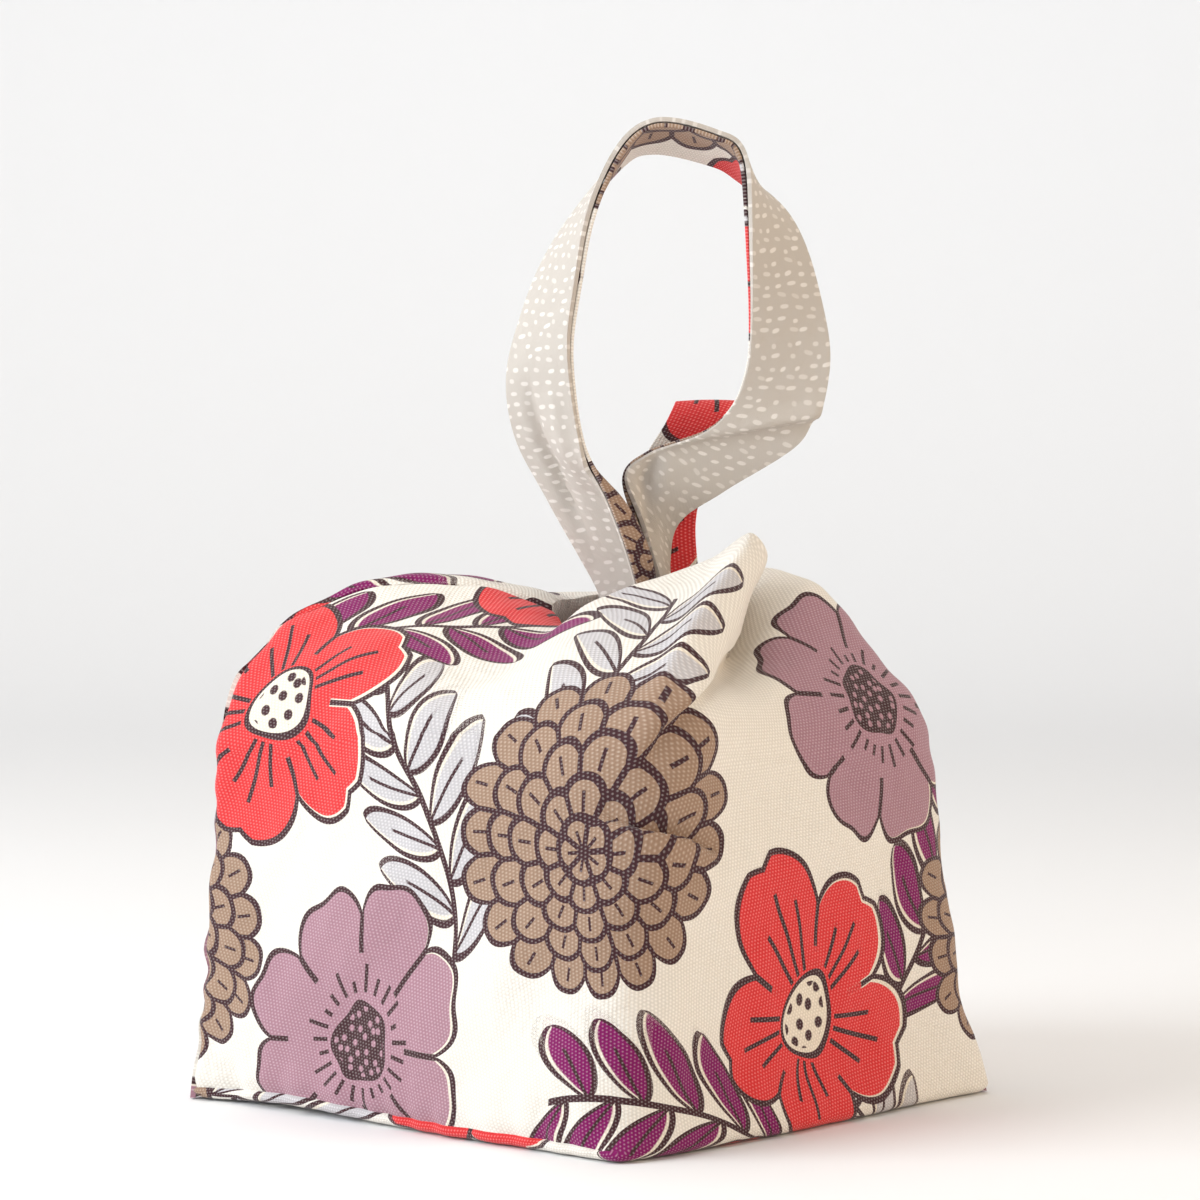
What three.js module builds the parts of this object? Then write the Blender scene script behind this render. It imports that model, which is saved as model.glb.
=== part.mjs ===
// A small cloth dumpling bag that stands on a square base, with one corner in front.
// The walls lean in a little, the top is drawn in to a mouth beside a raised horn of cloth,
// and a long and a short handle loop rise out of the mouth.
// Millimetres, +Z up. The origin is the middle of the base, and the base's sides lie along X and Y:
// the front corner of the bag is at -X -Y, and the right corner is at +X -Y.
import * as THREE from 'three';

// Driving sizes
const CLOTH = 2.2; // thickness of the body cloth
const SEAM_GAP = 0.45; // from the middle of a corner seam to each edge of the cloth
const FOOT_ROUND = 3; // radius where the walls roll under into the base
const HEM_DEPTH = 7; // how far the edge of the mouth is turned down inside
const BASE_CLEARANCE = 0.8; // between the base and the back cloth that stands around it
const BAND_LAYER = 1.2; // thickness of each layer of a handle
const BAND_GAP = 0.35; // between the two layers of a handle

// Around the bag, `at` runs from 0 at the front corner over the right corner (0.25),
// the back corner (0.5) and the left corner (0.75) to 1.
const CORNERS = ['front', 'right', 'back', 'left'];
const RIGHT_SEAM = 0.25;
const LEFT_SEAM = 0.75;
const FIRST_SIDE_DEGREES = 270; // direction of the middle of the side between front and right corner

// The walls, a row for each height. half is from the axis to the middle of a side,
// front, right, back and left are from the axis to those corners,
// and lean is how far the front corner has wandered to the right.
const WALL_SECTIONS = [
  { z: 0, half: 73, front: 102, right: 104.5, back: 101, left: 105.5, lean: 0 },
  { z: 6, half: 73, front: 97, right: 101.5, back: 98, left: 103.5, lean: 0 },
  { z: 20, half: 73, front: 95, right: 98, back: 96, left: 101.5, lean: 0 },
  { z: 38, half: 72.5, front: 94, right: 95, back: 95, left: 100, lean: 1 },
  { z: 65, half: 72, front: 92, right: 91.5, back: 94, left: 99.5, lean: 3 },
  { z: 92, half: 70, front: 90, right: 90, back: 92, left: 97, lean: 7 },
  { z: 112, half: 66, front: 84, right: 82, back: 86, left: 90, lean: 11 },
];
const LEAN_SPREAD = 0.075; // how far around the bag the lean of the front corner reaches
const SQUAREST = 0.99; // sharpest corner, as a share of a true square's
const PINCH_SPREAD = 0.014; // how far around the bag a corner is pinched out past that

// The top, a row for each ridge or valley around the bag. shoulder is the height at which
// the wall turns in, crest is the high line of the fold and lip is the edge of the mouth.
// crest and lip are [across, deep, up]: across runs from the left corner to the right corner,
// and deep from the front corner to the back corner.
const FOLDS = [
  { name: 'horn edge', at: 0.0, shoulder: 92, crest: [45, -12, 145], lip: [31, -3, 131] },
  { name: 'under the horn', at: 0.022, shoulder: 94, crest: [39, -12, 130], lip: [32, -1, 127] },
  { name: 'valley', at: 0.045, shoulder: 96, crest: [33, -16, 117], lip: [33, 1, 125] },
  { name: 'right slope', at: 0.11, shoulder: 92, crest: [46, -16, 124], lip: [34, 4, 129] },
  { name: 'right ridge', at: 0.18, shoulder: 88, crest: [58, -6, 130], lip: [34, 8, 132] },
  { name: 'right corner', at: 0.25, shoulder: 84, crest: [60, 5, 131], lip: [34, 14, 133] },
  { name: 'back right', at: 0.375, shoulder: 94, crest: [38, 38, 129], lip: [29, 24, 131] },
  { name: 'back corner', at: 0.5, shoulder: 88, crest: [8, 50, 124], lip: [12, 29, 131] },
  { name: 'back left', at: 0.625, shoulder: 94, crest: [-30, 40, 127], lip: [-4, 23, 129] },
  { name: 'left ridge', at: 0.7, shoulder: 96, crest: [-52, 20, 133], lip: [-9, 15, 129] },
  { name: 'left corner', at: 0.75, shoulder: 90, crest: [-74, 10, 126], lip: [-11, 8, 128] },
  { name: 'left face', at: 0.85, shoulder: 98, crest: [-42, -14, 124], lip: [-9, 1, 126] },
  { name: 'crest start', at: 0.905, shoulder: 100, crest: [-20, -28, 118], lip: [-5, -5, 123] },
  { name: 'crest', at: 0.945, shoulder: 98, crest: [-1, -18, 130], lip: [5, -6, 124] },
  { name: 'crest rise', at: 0.97, shoulder: 96, crest: [17, -15, 137], lip: [14, -5, 126] },
  { name: 'horn top', at: 0.988, shoulder: 94, crest: [34, -13, 148], lip: [23, -4, 129] },
];
const CREST_FLOW = 0.9; // how firmly the cloth runs on over a crest
const LIP_DROP = 0.5; // how steeply it turns down at the lip
const SHOULDER_RUN = 4; // height of wall under the shoulder that gives the rise its direction

// The long handle, a row for each place along the loop, from its left end in the mouth
// up, over and down to its right end. near and far are its two edges, [across, deep, up].
const LONG_HANDLE = [
  { name: 'left end', near: [10, -4.4, 119], far: [3, 8, 119] },
  { name: 'left mouth', near: [9, -4, 130], far: [2, 9, 130] },
  { name: 'left rise', near: [8, -5, 142], far: [-3, 9, 142] },
  { name: 'left lean', near: [3, -5, 156], far: [-12, 9, 156] },
  { name: 'left low bow', near: [-3, -6, 171], far: [-19, 8, 171] },
  { name: 'left bow', near: [-6, -7, 188], far: [-22, 7, 188] },
  { name: 'left upper', near: [-6, -8, 204], far: [-18, 9, 204] },
  { name: 'left turn', near: [-2, -9, 226], far: [-8, 10, 226] },
  { name: 'left top', near: [5, -9, 246], far: [7, 10, 244] },
  { name: 'top left', near: [15, -10, 254], far: [16, 8, 248] },
  { name: 'top right', near: [31, -11, 252], far: [31, 7, 246] },
  { name: 'right top', near: [38, -11, 247], far: [40, 7, 242] },
  { name: 'right upper', near: [39, -11, 230], far: [51, 4, 230] },
  { name: 'right bow', near: [40, -9, 208], far: [59, -1, 208] },
  { name: 'right low bow', near: [39, -7, 190], far: [61, -4, 190] },
  { name: 'right fold', near: [33, -5, 178], far: [55, -4, 173] },
  { name: 'right return', near: [18, -2, 170], far: [35, 4, 160] },
  { name: 'right dive', near: [10, 0, 163], far: [23, 9, 151] },
  { name: 'right rise', near: [12, -1, 147], far: [20, 12, 140] },
  { name: 'right mouth', near: [15, -2, 130], far: [20, 11, 130] },
  { name: 'right end', near: [15, -2, 119], far: [19, 10, 119] },
];

// The short handle, which stands behind the long one: up in front, over and down behind.
// near is its left edge and far its right edge, as they are seen from the front corner.
const SHORT_HANDLE = [
  { name: 'front end', near: [12, 17, 119], far: [29, 16, 119] },
  { name: 'front mouth', near: [11, 17, 132], far: [29, 16, 132] },
  { name: 'front rise', near: [10, 18, 150], far: [28, 17, 151] },
  { name: 'front lean', near: [14, 19, 166], far: [33, 18, 167] },
  { name: 'front top', near: [20, 21, 176], far: [39, 20, 177] },
  { name: 'crown', near: [23, 26, 181], far: [42, 25, 181] },
  { name: 'back top', near: [21, 32, 176], far: [40, 31, 176] },
  { name: 'back bow', near: [12, 35, 160], far: [30, 34, 160] },
  { name: 'back rise', near: [9, 30, 143], far: [26, 28, 143] },
  { name: 'back mouth', near: [12, 24.3, 131], far: [28, 22.3, 131] },
  { name: 'back end', near: [13, 23, 119], far: [28, 21, 119] },
];

// Fineness of the facets
const FRONT_COLUMNS = 34;
const BACK_COLUMNS = 20;
const CORNER_CROWDING = 1.6; // above 1, the front columns stand closer by the front corner
const STEPS = { hem: 1, lip: 6, crest: 7, wall: 6, foot: 2, base: 6 };
const BAND_STEPS_PER_ROW = 2;
const BAND_COLUMNS = 3;

const SMALL_STEP = 0.002; // share of a stretch over which a direction is measured

// A point given along the base's diagonals, in the part's own axes
function onDiagonals([across, deep, up]) {
  return new THREE.Vector3((across + deep) * Math.SQRT1_2, (deep - across) * Math.SQRT1_2, up);
}

// Cubic run from p to q with slopes m and n; works on numbers
function cubic(p, q, m, n, t) {
  const t2 = t * t;
  const t3 = t2 * t;
  return (2 * t3 - 3 * t2 + 1) * p + (t3 - 2 * t2 + t) * m + (3 * t2 - 2 * t3) * q + (t3 - t2) * n;
}

// The same run between two points
function cubicPoint(p, q, m, n, t) {
  return new THREE.Vector3(
    cubic(p.x, q.x, m.x, n.x, t),
    cubic(p.y, q.y, m.y, n.y, t),
    cubic(p.z, q.z, m.z, n.z, t),
  );
}

// Smooth value between four neighbouring rows, each [place, value]
function between(rows, place) {
  const [[x0, y0], [x1, y1], [x2, y2], [x3, y3]] = rows;
  const width = x2 - x1;
  const t = Math.min(1, Math.max(0, (place - x1) / width));
  return cubic(y1, y2, ((y2 - y0) / (x2 - x0)) * width, ((y3 - y1) / (x3 - x1)) * width, t);
}

// Smooth value of one column of a table whose rows go up in `key`
function alongTable(table, key, place, value) {
  let i = 0;
  while (i < table.length - 2 && place > table[i + 1][key]) i += 1;
  const pick = (k) => table[Math.min(table.length - 1, Math.max(0, k))];
  return between([i - 1, i, i + 1, i + 2].map((k) => [pick(k)[key], value(pick(k))]), place);
}

// Smooth value of one column of the folds, which close on themselves around the bag
function aroundFolds(at, value) {
  const count = FOLDS.length;
  const place = at - Math.floor(at);
  let i = 0;
  while (i < count - 1 && place > FOLDS[i + 1].at) i += 1;
  const row = (k) => {
    const turn = Math.floor(k / count);
    const fold = FOLDS[k - turn * count];
    return [fold.at + turn, value(fold)];
  };
  return between([row(i - 1), row(i), row(i + 1), row(i + 2)], place);
}

function foldPoint(at, column) {
  return onDiagonals([0, 1, 2].map((axis) => aroundFolds(at, (fold) => fold[column][axis])));
}

// Point of the wall at a height. A side between two corners is a rounded square's side,
// whose corner is as sharp as its distance from the axis says. A corner that lies further out
// than the square's own is pinched out to it.
function wallPoint(at, z, inset = 0) {
  const place = at - Math.floor(at);
  const column = (name) => alongTable(WALL_SECTIONS, 'z', z, (row) => row[name]);
  const sides = place * CORNERS.length;
  const side = Math.floor(sides);
  const nearest = Math.round(sides);
  const half = column('half') - inset;
  const corner = column(CORNERS[nearest % CORNERS.length]) - inset * Math.SQRT2;
  const square = Math.min(corner, half * Math.SQRT2 * SQUAREST);
  const power = 1 / (0.5 - Math.log2(square / half));
  const angle = THREE.MathUtils.degToRad(FIRST_SIDE_DEGREES + 90 * side) + Math.atan(2 * (sides - side) - 1);
  const spread = Math.abs(Math.cos(angle)) ** power + Math.abs(Math.sin(angle)) ** power;
  const fromCorner = (sides - nearest) / CORNERS.length;
  const pinch = (corner - square) * Math.exp(-((fromCorner / PINCH_SPREAD) ** 2));
  const reach = half * spread ** (-1 / power) + pinch;
  const fromFront = (place + 0.5) % 1 - 0.5;
  const lean = column('lean') * Math.exp(-((fromFront / LEAN_SPREAD) ** 2)) * Math.SQRT1_2;
  return new THREE.Vector3(reach * Math.cos(angle) + lean, reach * Math.sin(angle) - lean, z);
}

// Point of the cloth. `down` goes from the turned-down hem of the mouth (-1 to 0) over
// lip to crest (0 to 1), crest to shoulder (1 to 2), wall (2 to 3), round foot (3 to 4)
// and, on the front cloth, across the base (4 to 5).
function clothPoint(at, down) {
  const shoulderZ = aroundFolds(at, (fold) => fold.shoulder);
  const foot = (turn) => (
    wallPoint(at, FOOT_ROUND * (1 - Math.sin(turn)), FOOT_ROUND * (1 - Math.cos(turn)))
  );
  if (down >= 4) {
    const front = foot(Math.PI / 2);
    const back = wallPoint(0.5 - at, CLOTH, CLOTH + BASE_CLEARANCE).setZ(0);
    return front.lerp(back, down - 4);
  }
  if (down >= 3) return foot(((down - 3) * Math.PI) / 2);
  if (down >= 2) return wallPoint(at, shoulderZ + (FOOT_ROUND - shoulderZ) * (down - 2));
  const shoulder = wallPoint(at, shoulderZ);
  const crest = foldPoint(at, 'crest');
  const lip = foldPoint(at, 'lip');
  const flow = lip.clone().sub(shoulder).normalize();
  const toLip = crest.distanceTo(lip);
  if (down >= 1) {
    const rise = shoulder.clone().sub(wallPoint(at, shoulderZ - SHOULDER_RUN)).normalize();
    const toCrest = crest.distanceTo(shoulder);
    rise.multiplyScalar(toCrest);
    flow.multiplyScalar(toCrest * CREST_FLOW);
    return cubicPoint(shoulder, crest, rise, flow, 2 - down);
  }
  const turnDown = lip.clone().sub(crest);
  turnDown.z -= LIP_DROP * toLip;
  if (down >= 0) {
    flow.multiplyScalar(toLip * CREST_FLOW);
    return cubicPoint(crest, lip, flow, turnDown, 1 - down);
  }
  return lip.add(new THREE.Vector3(0, 0, HEM_DEPTH * down));
}

// Outward direction of a surface at (a, b), from small steps along both of its ways
function outward(pointAt, a, b) {
  const alongA = pointAt(a + SMALL_STEP, b).sub(pointAt(a - SMALL_STEP, b));
  const alongB = pointAt(a, b + SMALL_STEP).sub(pointAt(a, b - SMALL_STEP));
  return alongB.cross(alongA).normalize();
}

// Closed sheet over a grid of points: its faces lie `low` and `high` along the directions
function sheetGeometry(points, directions, low, high) {
  const rows = points.length;
  const columns = points[0].length;
  const positions = [];
  for (const offset of [high, low]) {
    points.forEach((row, i) => row.forEach((point, j) => {
      const moved = point.clone().addScaledVector(directions[i][j], offset);
      positions.push(moved.x, moved.y, moved.z);
    }));
  }
  const vertex = (layer, i, j) => layer * rows * columns + i * columns + j;
  const index = [];
  const quad = (a, b, c, d) => index.push(a, b, c, a, c, d);
  for (let i = 0; i < rows - 1; i += 1) {
    for (let j = 0; j < columns - 1; j += 1) {
      quad(vertex(0, i, j), vertex(0, i + 1, j), vertex(0, i + 1, j + 1), vertex(0, i, j + 1));
      quad(vertex(1, i, j), vertex(1, i, j + 1), vertex(1, i + 1, j + 1), vertex(1, i + 1, j));
    }
  }
  const rim = [];
  for (let j = 0; j < columns - 1; j += 1) rim.push([0, j]);
  for (let i = 0; i < rows - 1; i += 1) rim.push([i, columns - 1]);
  for (let j = columns - 1; j > 0; j -= 1) rim.push([rows - 1, j]);
  for (let i = rows - 1; i > 0; i -= 1) rim.push([i, 0]);
  rim.forEach(([i, j], k) => {
    const [ni, nj] = rim[(k + 1) % rim.length];
    quad(vertex(0, i, j), vertex(0, ni, nj), vertex(1, ni, nj), vertex(1, i, j));
  });
  const geometry = new THREE.BufferGeometry();
  geometry.setAttribute('position', new THREE.Float32BufferAttribute(positions, 3));
  geometry.setIndex(index);
  return facingOut(geometry);
}

// Turns a closed geometry's faces round if they point in
function facingOut(geometry) {
  const position = geometry.getAttribute('position');
  const index = geometry.getIndex();
  const corner = (k) => new THREE.Vector3().fromBufferAttribute(position, index.getX(k));
  let volume = 0;
  for (let k = 0; k < index.count; k += 3) {
    volume += corner(k).dot(corner(k + 1).cross(corner(k + 2)));
  }
  if (volume < 0) {
    for (let k = 0; k < index.count; k += 3) {
      const second = index.getX(k + 1);
      index.setX(k + 1, index.getX(k + 2));
      index.setX(k + 2, second);
    }
  }
  geometry.computeVertexNormals();
  return geometry;
}

// Evenly stepped places over the stretches named, as [first, last, steps]
function places(stretches) {
  const list = [];
  stretches.forEach(([first, last, steps]) => {
    for (let k = 0; k < steps; k += 1) list.push(first + ((last - first) * k) / steps);
  });
  list.push(stretches[stretches.length - 1][1]);
  return list;
}

// Places around the bag between two seams, for one row of the grid. Each end keeps
// SEAM_GAP from its seam, so it stands further off where the cloth is drawn together.
function columnsBetween(pointAt, from, to, shares, down) {
  const level = Math.min(down, 4 - SMALL_STEP);
  const gapShare = (seam) => {
    const across = pointAt(seam + SMALL_STEP, level).distanceTo(pointAt(seam - SMALL_STEP, level));
    return (SEAM_GAP * 2 * SMALL_STEP) / across;
  };
  const first = from + gapShare(from);
  const last = to - gapShare(to);
  return shares.map((share) => first + (last - first) * share);
}

// Closed sheet of cloth between two seams. Its cut ends face along the seam, so that
// the sheets on both sides of a seam stay apart through their whole thickness.
function clothGeometry(pointAt, directionAt, from, to, shares, downs) {
  const grid = downs.map((down) => columnsBetween(pointAt, from, to, shares, down));
  const points = downs.map((down, i) => grid[i].map((at) => pointAt(at, down)));
  const facing = (at, order) => {
    if (order === 0) return from;
    return order === shares.length - 1 ? to : at;
  };
  const directions = downs.map((down, i) => (
    grid[i].map((at, order) => directionAt(facing(at, order), down))
  ));
  return sheetGeometry(points, directions, -CLOTH, 0);
}

const topStretches = [[-1, 0, STEPS.hem], [0, 1, STEPS.lip], [1, 2, STEPS.crest], [2, 3, STEPS.wall]];

// Front cloth: the front two walls, their part of the top, and the base, in one piece
function frontCloth() {
  const shares = places([[-1, 1, FRONT_COLUMNS]]).map(
    (t) => 0.5 + 0.5 * Math.sign(t) * Math.abs(t) ** CORNER_CROWDING,
  );
  const downs = places([...topStretches, [3, 4, STEPS.foot], [4, 5, STEPS.base]]);
  const direction = (at, down) => (
    down >= 4 ? new THREE.Vector3(0, 0, -1) : outward(clothPoint, at, Math.min(down, 4 - SMALL_STEP))
  );
  return clothGeometry(clothPoint, direction, LEFT_SEAM - 1, RIGHT_SEAM, shares, downs);
}

// Back cloth: the back two walls and their part of the top; it stands on its lower edge
function backCloth() {
  const point = (at, down) => (down <= 2 ? clothPoint(at, down) : wallPoint(at, wallHeight(at, down)));
  const shares = places([[0, 1, BACK_COLUMNS]]);
  const direction = (at, down) => {
    const out = outward(point, at, down);
    return down === 3 ? out.setZ(0).normalize() : out;
  };
  return clothGeometry(point, direction, RIGHT_SEAM, LEFT_SEAM, shares, places(topStretches));
}

// Height of the back wall, which reaches the ground at 3
function wallHeight(at, down) {
  return aroundFolds(at, (fold) => fold.shoulder) * (3 - down);
}

// Point of a handle: `along` counts rows of its table, `side` goes from near (0) to far (1)
function bandPoint(table, along, side) {
  const rows = table.map((row, order) => ({ ...row, order }));
  const at = (column, axis) => alongTable(rows, 'order', along, (row) => row[column][axis]);
  const edge = (column) => onDiagonals([0, 1, 2].map((axis) => at(column, axis)));
  return edge('near').lerp(edge('far'), side);
}

// One layer of a handle, between two distances from the middle of the band
function bandLayer(table, low, high) {
  const alongs = places([[0, table.length - 1, (table.length - 1) * BAND_STEPS_PER_ROW]]);
  const sides = places([[0, 1, BAND_COLUMNS]]);
  const point = (along, side) => bandPoint(table, along, side);
  const points = alongs.map((along) => sides.map((side) => point(along, side)));
  const inside = (along) => Math.min(table.length - 1 - SMALL_STEP, Math.max(SMALL_STEP, along));
  const directions = alongs.map((along) => sides.map((side) => outward(point, inside(along), side)));
  return sheetGeometry(points, directions, low, high);
}

function clothMaterial(color) {
  return new THREE.MeshStandardMaterial({ color, roughness: 0.9, metalness: 0 });
}

const printedCloth = clothMaterial(0xe9e0d2);
const liningCloth = clothMaterial(0xc9c0b8);

function piece(name, geometry, material) {
  const mesh = new THREE.Mesh(geometry, material.clone());
  mesh.name = name;
  return mesh;
}

const halfGap = BAND_GAP / 2;
const layerEnd = halfGap + BAND_LAYER;

const body = new THREE.Group();
body.add(piece('front_cloth', frontCloth(), printedCloth));
body.add(piece('back_cloth', backCloth(), printedCloth));

const handles = new THREE.Group();
handles.add(piece('long_handle_print', bandLayer(LONG_HANDLE, halfGap, layerEnd), printedCloth));
handles.add(piece('long_handle_lining', bandLayer(LONG_HANDLE, -layerEnd, -halfGap), liningCloth));
handles.add(piece('short_handle_print', bandLayer(SHORT_HANDLE, halfGap, layerEnd), printedCloth));
handles.add(piece('short_handle_lining', bandLayer(SHORT_HANDLE, -layerEnd, -halfGap), liningCloth));

const bag = new THREE.Group();
bag.add(body, handles);

export default bag;
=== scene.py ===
"""A small cloth dumpling bag that stands with one corner in front.

The body is two sheets of printed canvas that meet in the corner seams. The top is drawn in to
a mouth beside a raised horn of cloth, and a long and a short handle loop rise out of the mouth.
Each handle is a strip of printed canvas backed with a strip of lining cotton.
"""

from __future__ import annotations

import logging
import math
from dataclasses import dataclass
from enum import Enum
from typing import Callable, Sequence

import bpy
import numpy as np
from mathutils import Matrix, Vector

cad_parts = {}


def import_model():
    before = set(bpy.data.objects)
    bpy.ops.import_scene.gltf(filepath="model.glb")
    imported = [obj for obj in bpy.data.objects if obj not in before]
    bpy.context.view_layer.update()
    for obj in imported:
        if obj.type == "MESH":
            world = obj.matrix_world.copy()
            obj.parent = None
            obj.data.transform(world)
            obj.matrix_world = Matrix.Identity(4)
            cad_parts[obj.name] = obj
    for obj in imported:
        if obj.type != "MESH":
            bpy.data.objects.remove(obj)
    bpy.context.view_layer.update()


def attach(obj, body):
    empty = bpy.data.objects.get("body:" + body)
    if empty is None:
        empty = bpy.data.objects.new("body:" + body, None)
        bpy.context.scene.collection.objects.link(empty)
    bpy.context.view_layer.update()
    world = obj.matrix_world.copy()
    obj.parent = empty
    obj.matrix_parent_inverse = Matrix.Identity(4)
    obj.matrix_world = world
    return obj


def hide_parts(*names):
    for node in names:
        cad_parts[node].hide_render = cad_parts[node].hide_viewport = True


LOG = logging.getLogger("dumpling_bag")
MM = 0.001  # a millimetre, in metres
SMALL_STEP = 0.002  # step along a surface from which its slopes are worked out
SHORTEST = 1e-9  # length under which a direction counts as none
FLATTEST = 1e-6  # area under which a patch of cloth counts as flat
STIFFNESS_RANGE = (0.05, 20.0)  # least and most that one edge of a patch resists
LAY_FLAT_COLUMNS = 45  # columns of the coarse grid that is laid flat
CUT_EDGE_SEGMENTS = 3
CUT_EDGE_DEGREES = 55  # edges sharper than this are rounded
SMOOTH_DEGREES = 50  # edges softer than this are shaded smooth
Array = np.ndarray
Triple = tuple[float, float, float]


# ---------------------------------------------------------------- smooth tables and directions


class SmoothTable:
    """Values that run smoothly between the rows of a short table."""

    def __init__(self, places: Sequence[float], values: Sequence, period: float = 0.0) -> None:
        """Keeps the rows, with a spare one past each end.

        Args:
            places: where each row stands, going up.
            values: one value, or one array of values, for each row.
            period: length after which the rows repeat, or 0 where they don't.
        """
        spots, rows = np.asarray(places, float), np.asarray(values, float)
        if period:
            spots = np.concatenate([spots[-2:] - period, spots, spots[:2] + period])
            rows = np.concatenate([rows[-2:], rows, rows[:2]])
        else:
            spots = np.concatenate([spots[:1], spots, spots[-1:]])
            rows = np.concatenate([rows[:1], rows, rows[-1:]])
        self.places, self.values, self.period = spots, rows, period

    def __call__(self, place: Array | float) -> Array:
        """Gives the values at one place or at an array of places.

        Args:
            place: the place or places.

        Returns:
            The values there.
        """
        spot = np.asarray(place, float)
        if self.period:
            spot = np.mod(spot, self.period)
        i = np.clip(np.searchsorted(self.places, spot, side="left") - 1, 1, len(self.places) - 3)
        x0, x1, x2, x3 = (self.places[i + k] for k in (-1, 0, 1, 2))
        y0, y1, y2, y3 = (self.values[i + k] for k in (-1, 0, 1, 2))
        spare = self.values.ndim - 1
        wide = lambda a: a.reshape(a.shape + (1,) * spare)  # noqa: E731
        width = x2 - x1
        t = wide(np.clip((spot - x1) / width, 0, 1))
        start = (y2 - y0) * wide(width / (x2 - x0))
        end = (y3 - y1) * wide(width / (x3 - x1))
        return cubic(y1, y2, start, end, t)


def cubic(p: Array, q: Array, m: Array, n: Array, t: Array) -> Array:
    """Cubic run between two values.

    Args:
        p: value at the start.
        q: value at the end.
        m: slope at the start.
        n: slope at the end.
        t: shares of the way, 0 to 1.

    Returns:
        The values on the way.
    """
    t2, t3 = t * t, t * t * t
    return (2 * t3 - 3 * t2 + 1) * p + (t3 - 2 * t2 + t) * m + (3 * t2 - 2 * t3) * q + (t3 - t2) * n


def unit(vectors: Array) -> Array:
    """The same directions, one long."""
    return vectors / np.maximum(np.linalg.norm(vectors, axis=-1, keepdims=True), SHORTEST)


def on_diagonals(spots: Array | Triple) -> Array:
    """Points given as across, deep and up along the base's diagonals, in the bag's own axes.

    Args:
        spots: one point or an array of points, each (across, deep, up).

    Returns:
        The points in the bag's own axes.
    """
    across, deep, up = np.moveaxis(np.asarray(spots, float), -1, 0)
    half = math.sqrt(0.5)
    return np.stack([(across + deep) * half, (deep - across) * half, up], -1)


def outward(point_at: Callable[[Array, Array], Array], a: Array, b: Array) -> Array:
    """Direction out of a surface, from small steps along both of its ways.

    Args:
        point_at: gives the surface's points from two places.
        a: places along the first way.
        b: places along the second way.

    Returns:
        The directions, each one long.
    """
    along_a = point_at(a + SMALL_STEP, b) - point_at(a - SMALL_STEP, b)
    along_b = point_at(a, b + SMALL_STEP) - point_at(a, b - SMALL_STEP)
    return unit(np.cross(along_b, along_a))


def stretches(*parts: tuple[float, float, int]) -> Array:
    """Evenly stepped places over the parts named.

    Args:
        parts: the first place, last place and number of steps of each part.

    Returns:
        The places, in order.
    """
    steps = [np.linspace(first, last, count, endpoint=False) for first, last, count in parts]
    return np.concatenate([*steps, [parts[-1][1]]])


class Unevenness:
    """A soft, repeatable waviness over a flat cloth, made of a few crossing swells."""

    length_spread = (0.7, 1.5)
    height = 0.6

    def __init__(self, seed: int, length: float, waves: int = 7) -> None:
        """Draws the swells.

        Args:
            seed: number that the draw starts from.
            length: middle length of a swell, in mm.
            waves: how many swells cross.
        """
        draw = np.random.default_rng(seed)
        heading = draw.uniform(0, math.tau, waves)
        pitch = math.tau / (length * draw.uniform(*self.length_spread, waves))
        self.steps = np.stack([np.cos(heading), np.sin(heading)], -1) * pitch[:, None]
        self.starts = draw.uniform(0, math.tau, waves)
        self.share = math.sqrt(2 / waves)

    def __call__(self, flat: Array) -> Array:
        """Height of the waviness, about -1 to 1, at flat places in mm."""
        return np.sin(flat @ self.steps.T + self.starts).sum(-1) * self.share * self.height


# ---------------------------------------------------------------- the bag's form, in mm


@dataclass(frozen=True)
class WallSection:
    """Outline of the walls at a height: side and corner distances from the axis."""

    z: float
    half: float
    front: float
    right: float
    back: float
    left: float
    lean: float


@dataclass(frozen=True)
class Fold:
    """A ridge or valley of the top. crest and lip are (across, deep, up)."""

    name: str
    at: float
    shoulder: float
    crest: Triple
    lip: Triple


def beside(path: Sequence[Triple], points: Array) -> tuple[Array, Array, Array]:
    """Where points stand beside a path of (across, deep, up).

    Args:
        path: knots of the path.
        points: the points.

    Returns:
        Arm from the path's nearest place to each point, share of the path up to that place,
        and heading of the path there.
    """
    knots = on_diagonals(path)
    count = len(knots) - 1
    nearest = np.full(points.shape[:-1], np.inf)
    arm, heading, share = np.zeros(points.shape), np.zeros(points.shape), np.zeros(points.shape[:-1])
    for k in range(count):
        run = knots[k + 1] - knots[k]
        t = np.clip(((points - knots[k]) @ run) / (run @ run), 0, 1)
        away = points - knots[k] - t[..., None] * run
        gap = np.linalg.norm(away, axis=-1)
        closer = gap < nearest
        nearest = np.where(closer, gap, nearest)
        share = np.where(closer, (k + t) / count, share)
        arm = np.where(closer[..., None], away, arm)
        heading = np.where(closer[..., None], run, heading)
    return arm, share, heading


@dataclass(frozen=True)
class Crease:
    """A soft trough (depth above 0) or ridge (below 0) along a path of (across, deep, up)."""

    name: str
    depth: float
    width: float
    path: tuple[Triple, ...]
    end_share: float = 0.2

    def press(self, points: Array) -> Array:
        """How far in the cloth is pressed.

        Args:
            points: points of the cloth.

        Returns:
            The depth at each point, in mm.
        """
        arm, share, _ = beside(self.path, points)
        taper = np.sqrt(np.clip(4 * share * (1 - share), 0, 1)) * (1 - self.end_share) + self.end_share
        return self.depth * taper * np.exp(-(arm**2).sum(-1) / self.width**2)


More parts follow.
